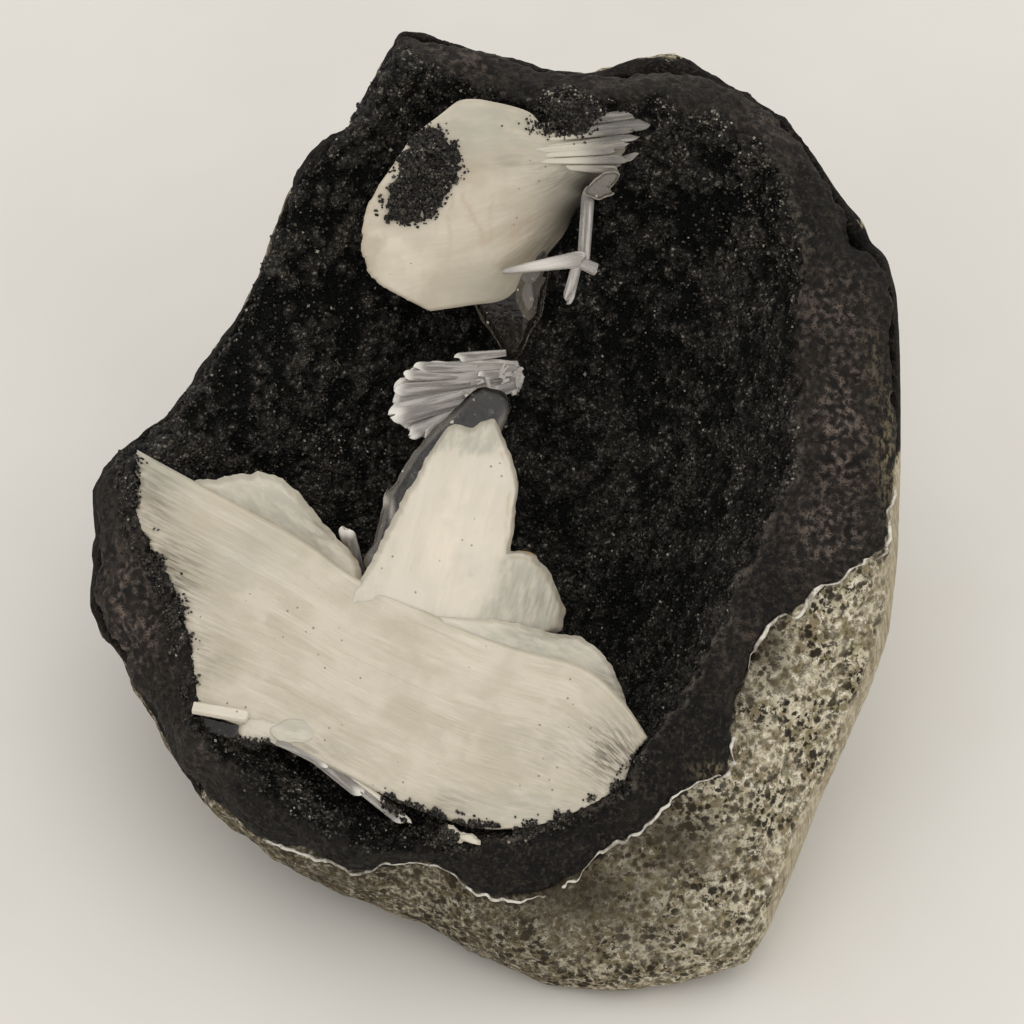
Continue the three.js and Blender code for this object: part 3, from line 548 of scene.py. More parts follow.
def sheaf(
    name, edges, height, depth, narrow, length, width, relief, ragged, rolled, seed, fineness=SHEAF_GRID
):
    """A bundle of fibres with a finely ridged face, ragged ends and sides that draw in below."""
    rows, columns = fineness
    levels = WALL_LEVELS
    q = np.linspace(0, 1, columns)
    near = ragged_ends(q, width, seed, ragged[0]) / length
    far = ragged_ends(q, width, seed + 5, ragged[1]) / length
    along = np.linspace(0, 1, rows)[:, None]
    s = near[None, :] + along * (1 - near - far)[None, :]
    q = np.broadcast_to(q, s.shape)
    place = coons(edges, s, q)
    u, v = place[..., 0], place[..., 1]
    edge = np.minimum(np.minimum(q, 1 - q) * width, np.minimum(along, 1 - along) * length)
    drop = rolled * (1 - ramp(edge, 0, 1.1)) ** 2
    w = height(u, v, s, q) + fibre_relief(s, q, length, width, seed + 9, relief) - drop
    top = np.stack([u, v, w], axis=-1)
    middle = top[:, [0, -1], :2].mean(axis=1)[:, None, :]
    drawn_in = middle + (top[..., :2] - middle) * narrow
    below = np.concatenate([drawn_in, (height(u, v, s, q) - depth(s, q))[..., None]], axis=-1)
    index = np.arange(rows * columns).reshape(rows, columns)
    loop = np.r_[index[0, :-1], index[:-1, -1], index[-1, :0:-1], index[:0:-1, 0]]
    flat_top, flat_below = top.reshape(-1, 3), below.reshape(-1, 3)
    points = [flat_top, flat_below]
    for level in range(1, levels):
        share = level / levels
        ring = flat_top[loop] * (1 - share) + flat_below[loop] * share
        outward = flat_top[loop][:, :2] - flat_below[loop][:, :2]
        reach = np.linalg.norm(outward, axis=1, keepdims=True) + 1e-9
        strata = 0.35 * lattice_noise(ring * np.array([0.25, 0.25, 2.2]), 1, seed + 20)
        ring[:, :2] += outward / reach * (0.5 * math.sin(math.pi * share) + strata[:, None])
        points.append(ring)
    total = rows * columns
    walls = [2 * total + len(loop) * k + np.arange(len(loop)) for k in range(levels - 1)]
    rings = [loop, *walls, total + loop]
    faces = [grid_faces(rows, columns), grid_faces(rows, columns, total, flip=True)]
    for upper, lower in zip(rings, rings[1:]):
        faces.append(np.stack([upper, np.roll(upper, -1), np.roll(lower, -1), lower], axis=1))
    piece = mesh_object(name, np.vstack(points), np.vstack(faces))
    wall_w = np.concatenate([ring[:, 2] for ring in points[2:]])
    along_w, across_w = (
        np.concatenate([part.ravel(), part.ravel(), np.tile(part.ravel()[loop], levels - 1)])
        for part in (s, q)
    )
    fibre_w = np.concatenate([flat_top[:, 2] * 0, flat_below[:, 2], wall_w])
    paint_vector(piece, "fibre", np.stack([along_w * length, across_w * width, fibre_w], axis=1))
    rim = np.concatenate([edge.ravel(), edge.ravel(), np.zeros(len(wall_w))])
    paint(piece, "rim", rim)
    return piece


def great_sheaf_height(u, v, s, q):
    """The great sheaf bulges a little out of the broken face."""
    return face(u, v) - 0.4 + 1.6 * np.sin(math.pi * q) * np.sin(math.pi * s)


def great_sheaf_depth(s, q):
    """The great sheaf is deepest in its middle."""
    return 19 * (0.45 + 0.55 * np.sin(math.pi * s)) * (0.5 + 0.5 * np.sin(math.pi * q))


def upper_face(u, v):
    """A low dome that drops away at the upper sheaf's right-hand edge."""
    top, curve, edge_drop, edge_width = -1.5, 0.011, 4.5, 2.8
    dome = curve * ((u + 8) ** 2 + (v - 45) ** 2)
    from_edge = -0.75 * (u - 13) + 0.66 * (v - 46.6)
    return top - dome - edge_drop * np.exp(-np.maximum(0, from_edge) / edge_width)


def slab(name, outline, plane, thickness, bevel, axis_deg, seed, wobble, centre=None, sag=0.0):
    """A tabular crystal: a plate with chamfered, slightly serrated edges and faint growth lines.

    Where sag is given, the part right of SAG_START falls away.
    """
    relief = 0.05
    turns = SLAB_TURNS if thickness > THICK_SLAB else SMALL_SLAB_TURNS
    rim = closed_curve(outline, turns)
    following = np.roll(rim, -1, axis=0)
    if np.sum(rim[:, 0] * following[:, 1] - rim[:, 1] * following[:, 0]) < 0:
        rim = rim[::-1]
    middle = rim.mean(axis=0) if centre is None else np.array(centre, float)
    away = rim - middle
    reach = np.linalg.norm(away, axis=1, keepdims=True)
    flat_rim = np.c_[rim, np.zeros(turns)]
    jag = wobble * (lattice_noise(flat_rim, 1.4, seed) + 0.6 * lattice_noise(flat_rim, 0.6, seed + 1))
    away = away * (1 + (jag[:, None] - wobble) / reach)
    reach = np.linalg.norm(away, axis=1)
    # Rings of points from the rim inwards: close together in the outer fifth, then even to the middle
    shares = np.r_[1 - 0.2 * np.linspace(0, 1, 9)[:-1] ** 1.5, np.linspace(0.8, 0, 22)[:-1]]
    level, slope_u, slope_v = plane
    turn = math.radians(axis_deg)
    along_axis = np.array([math.cos(turn), math.sin(turn)])
    across_axis = np.array([-math.sin(turn), math.cos(turn)])
    sheets, lines, depths = [], [], []
    for side, used in ((1, shares), (-1, shares[1:])):
        for share in used:
            place = middle + away * share
            inward = (1 - share) * reach
            run = np.stack([place @ across_axis, place @ along_axis * 0.08, np.zeros(turns)], axis=1)
            growth = lattice_noise(run, 2.2, seed + 2) + 0.5 * lattice_noise(run, 0.8, seed + 3)
            waver = 0.6 * lattice_noise(np.c_[place, np.zeros(turns)], 1.5, seed + 4)
            steps = 0.06 * np.floor(4 * ramp(inward, 0, 2 * bevel) + waver * (1 - ramp(inward, 0, 3 * bevel)))
            half = thickness / 2 * (0.35 + 0.65 * np.clip(inward / bevel, 0, 1))
            w = level + slope_u * place[:, 0] + slope_v * place[:, 1] - thickness / 2
            w = w - sag * np.maximum(0, place[:, 0] - SAG_START) ** 1.5
            w = w + side * (half + steps + relief * growth * ramp(inward, 0, bevel))
            sheets.append(np.c_[place, w])
            lines.append(np.c_[place @ along_axis, place @ across_axis, w * 0])
            depths.append(inward)
        centre_w = level + slope_u * middle[0] + slope_v * middle[1] + (side - 1) * thickness / 2
        sheets.append(np.r_[middle, centre_w][None, :])
        lines.append(np.r_[middle @ along_axis, middle @ across_axis, 0.0][None, :])
        depths.append(np.array([reach.mean()]))
    points = np.vstack(sheets)
    top_rings = len(shares)
    back_first = top_rings * turns + 1
    front = [turns * k for k in range(top_rings)]
    back = [0] + [back_first + turns * k for k in range(top_rings - 1)]
    faces = []
    for starts, hub, flip in ((front, back_first - 1, False), (back, len(points) - 1, True)):
        for outer, inner in zip(starts, starts[1:]):
            a, b = outer + np.arange(turns), inner + np.arange(turns)
            quads = np.stack([a, np.roll(a, -1), np.roll(b, -1), b], axis=1)
            faces.extend((quads[:, ::-1] if flip else quads).tolist())
        a = starts[-1] + np.arange(turns)
        fan = np.stack([a, np.roll(a, -1), np.full(turns, hub)], axis=1)
        faces.extend((fan[:, ::-1] if flip else fan).tolist())
    piece = mesh_object(name, points, faces)
    paint_vector(piece, "fibre", np.vstack(lines))
    paint(piece, "rim", np.concatenate(depths))
    return piece


def blade_axes(root, tip, roll):
    """A blade's length and its directions along, across and out of its broad face."""
    along = np.array(tip, float) - np.array(root, float)
    length = np.linalg.norm(along)
    along /= length
    across = np.cross(along, [0, 0, 1.0])
    across /= np.linalg.norm(across)
    facing = np.cross(across, along)
    turn = math.radians(roll)
    return (
        length,
        along,
        math.cos(turn) * across + math.sin(turn) * facing,
        math.cos(turn) * facing - math.sin(turn) * across,
    )


def closed_blade(rings, lines, tip, length, flip=False):
    """Joins rings of points into a blade with closed ends: points, faces and fibre lengths."""
    count = len(rings[0])
    last = (len(rings) - 1) * count
    points = np.vstack([*rings, rings[-1].mean(axis=0)[None, :] + tip])
    fibre = np.vstack([*lines, [[length, 0, 0]]])
    faces = grid_faces(len(rings), count, wrap=True).tolist()
    faces += [[last + k, last + (k + 1) % count, len(points) - 1] for k in range(count)]
    faces.append(list(range(count))[::-1])
    if flip:
        faces = [corners[::-1] for corners in faces]
    return points, faces, fibre


def prism_part(root, tip, width, thickness, roll, seed):
    """A bar with fluted sides and a slanting, chipped end: points, faces, fibre lengths and frost."""
    length, along, across, facing = blade_axes(root, tip, roll)
    corners = np.array([(-0.5, -0.2), (-0.36, -0.5), (0.36, -0.5), (0.5, -0.2)])
    corners = np.vstack([corners, -corners])
    halfway = (corners + np.roll(corners, -1, axis=0)) / 2
    outline = np.stack([corners, halfway], axis=1).reshape(-1, 2)
    rng = np.random.default_rng(seed)
    flutes = 1 + 0.07 * rng.uniform(-1, 1, len(outline))
    slant = rng.uniform(-0.25, 0.25)
    rings, lines = [], []
    for share in (0, 0.2, 0.4, 0.6, 0.75, 0.86, 0.93, 0.965, 0.985, 1.0):
        size = 0.95 + 0.05 * share
        size *= 1 - 0.12 * max(0.0, (share - 0.86) / 0.14) - 0.3 * max(0.0, (share - 0.985) / 0.015)
        x, y = (outline * flutes[:, None] * size).T
        run = share * length + slant * x * width * share**4
        middle = np.array(root) + run[:, None] * along
        rings.append(middle + x[:, None] * width * across + y[:, None] * thickness * facing)
        lines.append(np.c_[np.full(len(x), share * length), x * width, y * thickness])
    points, faces, fibre = closed_blade(rings, lines, along * 0.05, length, flip=True)
    return points, faces, fibre, ramp(fibre[:, 0] / length, 0.8, 1.0)


def leaf_part(root, tip, width, thickness, roll, seed, start, bend=0.0):
    """A flat blade that widens to a blunt, frosted tip: points, faces, fibre lengths and frost."""
    length, along, across, facing = blade_axes(root, tip, roll)
    stations = np.r_[np.linspace(0, 0.84, 13), 0.88, 0.92, 0.95, 0.975, 0.99, 0.998]
    turns = 2 * np.pi * np.arange(LEAF_TURNS) / LEAF_TURNS
    x = np.sign(np.cos(turns)) * np.abs(np.cos(turns)) ** 0.8 / 2
    y = np.sign(np.sin(turns)) * np.abs(np.sin(turns)) ** 0.7 / 2
    flat = np.zeros(LEAF_TURNS)
    end_steps = 0.7 * lattice_noise(np.stack([x * width / 0.7, flat, flat], axis=1), 1, seed + 1)
    rings, lines = [], []
    for share in stations:
        closing = max(0.0, (share - 0.84) / 0.16)
        size = (start + (1 - start) * share**0.8) * math.sqrt(1 - closing**3)
        run = np.stack([x * width / 0.5, flat + share * length / 12, 9.0 * np.sign(y)], axis=1)
        striae = 1 + 0.14 * lattice_noise(run, 1, seed)
        centre = np.array(root) + along * share * length + facing * bend * share**2 * length
        deep = thickness * (0.8 + 0.2 * share) * (1 - 0.8 * closing)
        ring = centre + (x * width * size)[:, None] * across + (y * deep * striae)[:, None] * facing
        rings.append(ring + (end_steps * ramp(share, 0.6, 0.95))[:, None] * along)
        lines.append(np.c_[flat + share * length, x * width * size, y * thickness])
    points, faces, fibre = closed_blade(rings, lines, along * 0.03, length)
    edge = ramp(np.abs(np.tile(x, len(stations))), 0.4, 0.5)
    return points, faces, fibre, np.maximum(ramp(fibre[:, 0] / length, 0.78, 1.0), np.r_[0.6 * edge, 1.0])


def leaf_parts(blades, seed, start, bend=0.0):
    """Leaves from a table, each with a seed of its own."""
    return [leaf_part(*blade, seed + k, start, bend) for k, blade in enumerate(blades)]


def gathered(name, parts, smooth):
    """Joins blades into one piece."""
    points, faces, fibres, frosts, start = [], [], [], [], 0
    for k, (more, more_faces, fibre, frost) in enumerate(parts):
        points.append(more)
        fibres.append(fibre + np.array([0, 7.0 * k, 0]))
        frosts.append(frost)
        faces += [[corner + start for corner in polygon] for polygon in more_faces]
        start += len(more)
    piece = mesh_object(name, np.vstack(points), faces, smooth)
    paint_vector(piece, "fibre", np.vstack(fibres))
    paint(piece, "frost", np.concatenate(frosts))
    paint(piece, "rim", np.full(start, 9.0))
    return piece


# Thin leaves along the great sheaf's lower edge: root, tip, width, thickness and roll
WHITE_LEAVES = [
    ((-25.4, -35.6, 4), (-14, -44.3, 6), 0.8, 0.7, 25),
    ((17.4, -33, 5), (18.5, -37.2, 6.4), 0.6, 0.5, 0),
]
GREY_LEAVES = [
    ((-32, -32.4, 2.4), (-24.4, -36.8, 3.2), 2.4, 0.9, 0),
    ((-28.8, -34.2, 2.6), (-21.6, -39.8, 3.8), 2.2, 0.9, -10),
    ((-23.8, -37.4, 3), (-15, -44.2, 4.4), 2.0, 0.9, 0),
    ((-33.4, -32.6, 3.4), (-26.4, -36.0, 4.2), 1.2, 0.9, 15),
]
BRIGHT_PRISM = ((-45.4, -27.9, 2.6), (-37.6, -29.2, 4.0), 1.8, 1.4, 20)
CLEAR_PRISM = ((-46, -29.8, -0.4), (-38, -31.8, 1.2), 2.6, 2, 0)
LENS_PLATE = [
    (-34.6, -30.8), (-33, -29.4), (-30.6, -29), (-28.4, -30), (-27.2, -32), (-28.6, -33), (-31, -33.2),
    (-34, -32.6),
]


# Tabular crystals: outline, plane, thickness, bevel, axis, serration, centre and sag
LOWER_BLADES = {
    "back_blade": (BACK_BLADE, (0.6, 0.1, -0.05), 4, 1.1, -38, 0.22, None, 0),
    "upright_blade": (UPRIGHT_BLADE, (2.4, 0.02, -0.06), 4.6, 0.9, 75, 0.3, (-6, -9), 0.06),
    "right_plate": (RIGHT_PLATE, (3.2, 0.06, -0.1), 2.4, 0.7, -25, 0.25, None, 0),
    "white_chip": (WHITE_CHIP, (5.0, 0.12, -0.1), 1.6, 0.5, -30, 0.42, None, 0),
    "step_plate": (STEP_PLATE, (5.4, 0.12, -0.06), 2.2, 0.5, -25, 0.25, None, 0),
    "lens_plate": (LENS_PLATE, (5.7, 0.12, -0.06), 0.6, 0.25, -20, 0.25, None, 0),
}

# Where a crystal is bluish and half clear, where it is creamy or grey-brown, and where it gets painted shade
# as it curls away into the hollow
TINTS_AND_SHADE = {
    "great_sheaf": {
        "cool": [(-52, 6, 6, 5, 0.8), (-38, -6, 5, 4, 0.4), (2, -42, 8, 3, 0.5)],
        "warm": [(-8, -22, 10, 6, 0.5), (-22, -20, 12, 8, 0.3)],
        "murk": [
            (-48.5, -9, 4.5, 6, 0.9), (-51, 1, 3.5, 6, 0.6), (-44, -20, 4, 5, 0.4),
            (14.5, -34.5, 4.5, 5, 1.0), (6, -33, 6, 4, 0.3), (-9, -41, 5, 2, 0.35), (-29, -34, 5, 2, 0.4),
        ],
    },
    "back_blade": {"cool": [(-34, 0, 11, 6, 0.8)], "murk": [(-27.5, -3, 3, 5, 0.5)]},
    "upright_blade": {
        "warm": [(-8, -4, 7, 9, 1.0)],
        "murk": [(4, -13, 5, 6, 0.4), (7.2, -12, 1.4, 4, 0.6), (-2, -21, 8, 3, 0.5)],
    },
    "right_plate": {
        "cool": [(4, -19, 14, 3, 0.9), (14, -24, 4, 6, 1.0)],
        "murk": [(15, -25, 3, 5, 0.6), (6, -17.4, 6, 1, 0.5)],
    },
    "step_plate": {"murk": [(-35, -33, 4, 1.2, 0.5)]},
    "lens_plate": {"cool": [(-31, -31, 4, 2, 0.6)]},
    "upper_sheaf": {
        "cool": [(-3, 55, 9, 4, 0.7), (12, 51, 6, 6, 0.9), (-4, 32, 5, 3, 0.4)],
        "warm": [(-17, 37, 6, 8, 0.8)],
        "murk": [(8, 48, 6, 3, 0.5), (6, 38, 6, 5, 0.5), (1, 50, 7, 1.2, 0.3), (9, 52.4, 5, 1, 0.4)],
        # Painted shade, near-black, where the upper sheaf's face curls away into the hollow
        "painted_shade": [(10.6, 42.4, 5.8, 5.2, 1.1), (12, 46.6, 5.4, 2.6, 1.0), (7.4, 37.4, 3.2, 2.8, 0.8)],
    },
}


def tint_and_shade(piece):
    """Marks a crystal's tinted places and its places of painted shade, for its material."""
    for layer, places in TINTS_AND_SHADE.get(piece.name, {}).items():
        paint(piece, layer, spots(points_of(piece), places))


def lower_crystals(pearly, smooth_pearly, frosted, clear):
    body = sheaf(
        "great_sheaf", GREAT_SHEAF, great_sheaf_height, great_sheaf_depth, narrow=0.62, length=78, width=36,
        relief=0.24, ragged=(1.8, 0.9), rolled=0.6, seed=50,
    )
    tint_and_shade(body)
    finish_piece(body, "stilbite", pearly, "lower_stilbite")
    for k, (name, blade) in enumerate(LOWER_BLADES.items()):
        outline, plane, thickness, bevel, axis, wobble, centre, sag = blade
        piece = slab(name, outline, plane, thickness, bevel, axis, 70 + 5 * k, wobble, centre, sag)
        tint_and_shade(piece)
        if name in ("upright_blade", "back_blade"):
            paint(piece, "ledge", growth_ledges(piece, outline))
        if name == "upright_blade":
            paint(piece, "cool", half_clear(piece))
        finish_piece(piece, "stilbite", smooth_pearly)
    thin = slab(
        "thin_plate", THIN_PLATE, plane=(-1.6, 0.05, -0.08), thickness=1.8, bevel=0.7, axis_deg=62,
        seed=105, wobble=0.15,
    )
    places = points_of(thin)
    strip = 0.4 * (1 - ramp(inside_by(THIN_PLATE, places), 0.9, 1.3)) * (1 - ramp(places[:, 1], 13, 16))
    foot = spots(places, [(-18.5, 1.6, 1.3, 1.4, 0.9), (-17.2, 0, 0.6, 3, 0.7)])
    paint(thin, "frost", np.maximum(strip, foot))
    finish_piece(thin, "glassy_stilbite", clear)
    grey = leaf_parts(GREY_LEAVES, 115, 0.9)
    grey.append(leaf_part((-22, -9, -8), (-23.8, -2.4, -3), 2.4, 1.5, 20, 119, 0.8))
    for name, parts, smooth, slot, material in (
        ("bright_prism", [prism_part(*BRIGHT_PRISM, 110)], False, "stilbite", smooth_pearly),
        ("white_leaves", leaf_parts(WHITE_LEAVES, 111, 0.9), True, "stilbite", smooth_pearly),
        ("grey_leaves", grey, True, "glassy_stilbite", frosted),
        ("clear_prism", [prism_part(*CLEAR_PRISM, 118)], False, "glassy_stilbite", clear),
    ):
        finish_piece(gathered(name, parts, smooth), slot, material)


def growth_ledges(piece, outline):
    """Tan, crumbly edge and the growth lines inside it, along the right-hand side of a blade."""
    points = points_of(piece)
    depth = inside_by(outline, points) + 0.3 * lattice_noise(points, 1.6, 97)
    lines = np.exp(-(((depth - 0.1) / 0.22) ** 2)) + 0.5 * np.exp(-(((depth - 1.2) / 0.22) ** 2))
    aside = points[:, 0] - np.interp(points[:, 1], [-20, -5, 6, 13], [3, -3, -4, -3])
    if points[:, 0].mean() < -20:
        aside = points[:, 0] + points[:, 1] * 0.5 + 32
    return ramp(aside, 0, 2) * lines * ramp(layered_noise(points, 2, 98), -0.5, 0.5)


def half_clear(piece):
    """The bluish, half clear top of the upright blade and its lobe, which start at a jagged line."""
    points = points_of(piece)
    jag = layered_noise(points * np.array([1, 1, 0]), 2.4, 99)
    top = ramp(points[:, 1] - 8.6 + 1.3 * jag, -0.15, 0.25)
    lobe = ramp(points[:, 0] - 0.45 * (points[:, 1] + 5.6) + 0.8 + 0.7 * jag, -0.4, 1.6) * (points[:, 1] < -5)
    return 0.75 * np.maximum(top, lobe)


def rim_of(piece):
    values = np.empty(len(piece.data.vertices), dtype=np.float32)
    piece.data.attributes["rim"].data.foreach_get("value", values)
    return values


# The middle fan: its outline and the blades that stand out of it, front ones last
FAN = {
    "right": [(1.1, 17.9), (-3.7, 16.6), (-9, 13.2), (-12.4, 10.7)],
    "left": [(0.9, 21.4), (-4.5, 21.6), (-10, 21.4), (-13.4, 21.2)],
    "near": [(1.1, 17.9), (1.4, 19.5), (0.9, 21.4)],
    "far": [(-12.4, 10.7), (-15.4, 12), (-17.2, 14.2), (-16.9, 17.4), (-15.6, 19.8), (-13.4, 21.2)],
}
FAN_BLADES = [
    ((-0.9, 23, -13), (-8.1, 22.2, -10.8), 1.6, 0.6, 10),
    ((-5, 20.6, -11), (-14, 20.8, -8.6), 1.9, 0.7, 8),
    ((-6, 19.6, -11), (-15.3, 19.7, -8.2), 1.7, 0.7, -6),
    ((-6, 18.4, -10.6), (-16.7, 17.5, -7.7), 2.0, 0.7, 6),
    ((-6, 15.6, -10.4), (-12.2, 10.7, -8.6), 2.4, 0.7, 10),
    ((-6, 16, -10.4), (-14.9, 11, -8.4), 2.4, 0.7, -8),
    ((-5, 17, -10.6), (-17.2, 13.8, -7.4), 3.4, 0.7, -4),
    ((0.4, 18.4, -12), (-6.6, 16.4, -9.2), 2.0, 0.7, 12),
    ((1.2, 20.4, -12), (-4.4, 19.6, -9.6), 1.6, 0.7, -14),
]


def crumbs(middle, spread, count, seed):
    """Small loose leaves round a place."""
    rng = np.random.default_rng(seed)
    parts = []
    for k in range(count):
        root = np.array(middle) + rng.normal(0, 1, 3) * np.array(spread)
        aim = rng.normal(0, 1, 3) * np.array([1, 0.7, 0.4])
        tip = root + aim / np.linalg.norm(aim) * rng.uniform(0.8, 1.8)
        crumb = leaf_part(root, tip, rng.uniform(0.5, 1.1), 0.4, rng.uniform(-40, 40), seed + k, 0.8)
        parts.append((*crumb[:3], np.full(len(crumb[0]), 0.45)))
    return parts


def middle_fan(frosted):
    body = sheaf(
        "middle_fan", FAN, lambda u, v, s, q: -12.6 + 3.6 * s + 0.7 * np.sin(math.pi * q),
        lambda s, q: 3.6 - 2.4 * s, narrow=0.9, length=16, width=11, relief=0.9, ragged=(0.4, 1.6),
        rolled=0.4, seed=125, fineness=FAN_GRID,
    )
    paint(body, "frost", np.maximum(0.35, 1 - ramp(rim_of(body), 0.1, 0.9)))
    finish_piece(body, "glassy_stilbite", frosted, "middle_stilbite_fan")
    parts = leaf_parts(FAN_BLADES, 130, 0.6, 0.02)
    parts += crumbs((-0.8, 19.4, -10.6), (1.3, 0.9, 0.5), 12, 145)
    parts += crumbs((-4.6, 17.6, -9.2), (2, 0.7, 0.3), 6, 175)
    finish_piece(gathered("fan_blades", parts, True), "glassy_stilbite", frosted)


# Leaves at the right end of the upper sheaf: root, tip, width, thickness and roll
END_LEAVES = [
    ((5, 56.4, -6.4), (16.0, 58.1, -8), 1.5, 0.6, 20),
    ((3, 55.2, -4.9), (18.4, 57.4, -8), 1.9, 0.6, -15),
    ((4, 53.9, -4.9), (19.4, 55.8, -7.8), 2.0, 0.6, 12),
    ((2, 53.0, -4.0), (17.0, 55.0, -6.8), 1.1, 0.5, -26),
    ((3, 52.2, -4.0), (18.2, 53.8, -7.2), 1.3, 0.6, 24),
    ((1, 51.6, -3.4), (16.6, 53.0, -6.6), 1.6, 0.6, -14),
    ((3, 51.0, -3.8), (14.8, 52.0, -6.2), 1.5, 0.5, 18),
    ((2, 50.2, -3.5), (16.1, 50.6, -6.4), 1.5, 0.6, 16),
    ((10, 49, -8), (18.0, 51.3, -7.8), 1.2, 0.6, 0),
    ((6, 49.6, -5.0), (15.2, 49.2, -6.6), 1.6, 0.6, -18),
]


# Bars below the end leaves: root, tip, width, thickness, roll, seed and the root's share of the width
BARS = [
    ((10.2, 35, -4), (11, 46.4, -6.8), 1.9, 1.5, 30, 180, 0.95),
    ((-1.4, 34.4, -3.2), (10.6, 36.4, -3.4), 2.6, 2.2, 0, 181, 0.25),
    ((9.6, 36.6, -4), (7.9, 30.1, -3), 1.7, 1.4, 40, 182, 0.8),
    ((9.6, 35.8, -4), (12.3, 34.6, -3), 1.9, 1.4, 0, 183, 0.9),
]


def upper_crystals(waxy, frosted, strands, clear, smoky):
    body = sheaf(
        "upper_sheaf", UPPER_SHEAF, lambda u, v, s, q: upper_face(u, v),
        lambda s, q: 15 * (0.6 + 0.4 * np.sin(math.pi * q)), narrow=0.66, length=40, width=28,
        relief=0.06, ragged=(1.6, 0.5), rolled=0.35, seed=150,
    )
    tint_and_shade(body)
    points = points_of(body)
    # Painted wrinkles: tan lines along the folds, partly their own tone and partly painted shade in the
    # creases
    folds = np.exp(-((layered_noise(points * np.array([1.5, 0.6, 0]), 3.0, 158, 3) / 0.22) ** 2))
    paint(body, "wrinkle_tan_and_shade", folds * spots(points, [(-6, 42, 5, 6.5, 1.0), (2, 40, 6, 4, 0.6)]))
    finish_piece(body, "stilbite", waxy, "upper_stilbite")
    ends = []
    for points, faces, fibre, frost in leaf_parts(END_LEAVES, 161, 0.3, 0.02):
        ends.append((points, faces, fibre, np.maximum(0.25 * frost, 0.95 * (1 - ramp(points[:, 0], 8, 15)))))
    finish_piece(gathered("end_leaves", ends, True), "glassy_stilbite", strands)
    small = []
    for points, faces, fibre, frost in (leaf_part(*bar) for bar in BARS):
        pale = 0.75 * spots(points, [(4, 35.4, 6, 2, 1.0)])
        small.append((points, faces, fibre, np.maximum(0.3 * frost, pale)))
    finish_piece(gathered("small_prisms", small, True), "glassy_stilbite", frosted)
    for name, outline, plane, thickness, bevel, axis, seed, material, rim_frost in (
        ("lower_plate", LOWER_PLATE, (-27, 0.1, 0.52), 2.2, 1.0, 70, 185, clear, 0.35),
        ("side_plate", SIDE_PLATE, (-9.3, -0.12, 0.05), 3.6, 1.5, 80, 190, smoky, 0.05),
        ("end_plate", END_PLATE, (-4.4, -0.1, 0.02), 1.2, 0.5, 60, 195, smoky, 0.6),
    ):
        plate = slab(name, outline, plane, thickness, bevel, axis, seed, 0.15)
        paint(plate, "frost", 0.1 + (rim_frost - 0.1) * (1 - ramp(rim_of(plate), 0.05, 0.3)))
        finish_piece(plate, "glassy_stilbite", material)


# Druse grains

GRAIN_CORNERS = np.array([(1, 0, 0), (-1, 0, 0), (0, 1, 0), (0, -1, 0), (0, 0, 1), (0, 0, -1)], float)
GRAIN_FACES = np.array(
    [(0, 2, 4), (2, 1, 4), (1, 3, 4), (3, 0, 4), (2, 0, 5), (1, 2, 5), (3, 1, 5), (0, 3, 5)]
)

# Where the druse is frosted and sparkles: its pale grains there stand partly for frost and partly for painted
# glints
FROST_AND_GLINTS = [
    (-27, 9, 7, 4, 0.8), (-32, 53, 4, 5, 0.9), (-36, 46, 2.5, 6, 0.6), (22, 58.6, 6, 1.6, 1.0),
    (30, 55.5, 4, 2, 1.0), (35, 51, 3, 3, 1.0), (38, 45, 2.6, 4, 0.9), (40, 38, 2.6, 4, 0.8),
    (34, 41, 4, 5, 0.5), (41, 30, 1.6, 6, 0.5), (-29, -40, 4, 4, 0.9), (-20, -45, 6, 2, 0.5),
    (10, 60, 9, 1.2, 0.7), (-12, 61, 5, 2, 0.5), (40, 2, 1.4, 12, 0.4),
]


def grains(name, centres, sizes, seed, glow, material, *replaced):
    """Small eight-sided grains, each turned and stretched at random, as one mesh.

    Glow, from 0 to 1, is how light the darkest grain is.
    """
    rng = np.random.default_rng(seed)
    count = len(centres)
    turns = rng.normal(size=(count, 4))
    turns /= np.linalg.norm(turns, axis=1, keepdims=True)
    a, b, c, d = turns.T
    spin = np.stack(
        [
            1 - 2 * (c * c + d * d), 2 * (b * c - a * d), 2 * (b * d + a * c),
            2 * (b * c + a * d), 1 - 2 * (b * b + d * d), 2 * (c * d - a * b),
            2 * (b * d - a * c), 2 * (c * d + a * b), 1 - 2 * (b * b + c * c),
        ],
        axis=1,
    ).reshape(count, 3, 3)
    stretch = rng.uniform(0.7, 1.3, (count, 1, 3))
    corners = (GRAIN_CORNERS[None] * stretch * np.asarray(sizes)[:, None, None] / 2) @ spin
    points = (corners + centres[:, None, :]).reshape(-1, 3)
    faces = (GRAIN_FACES[None] + 6 * np.arange(count)[:, None, None]).reshape(-1, 3)
    piece = mesh_object(name, points, faces, smooth=False)
    shade = rng.uniform(0, 1, count) ** 1.5
    # Pale grains: partly frost, partly painted glints
    frosted = rng.uniform(0, 1, count) < 0.05 + 0.5 * spots(centres, FROST_AND_GLINTS)
    paint(piece, "shade", np.repeat(np.where(frosted, 0.75 + 0.35 * shade, glow + (0.9 - glow) * shade), 6))
    finish_piece(piece, "druse", material, *replaced)


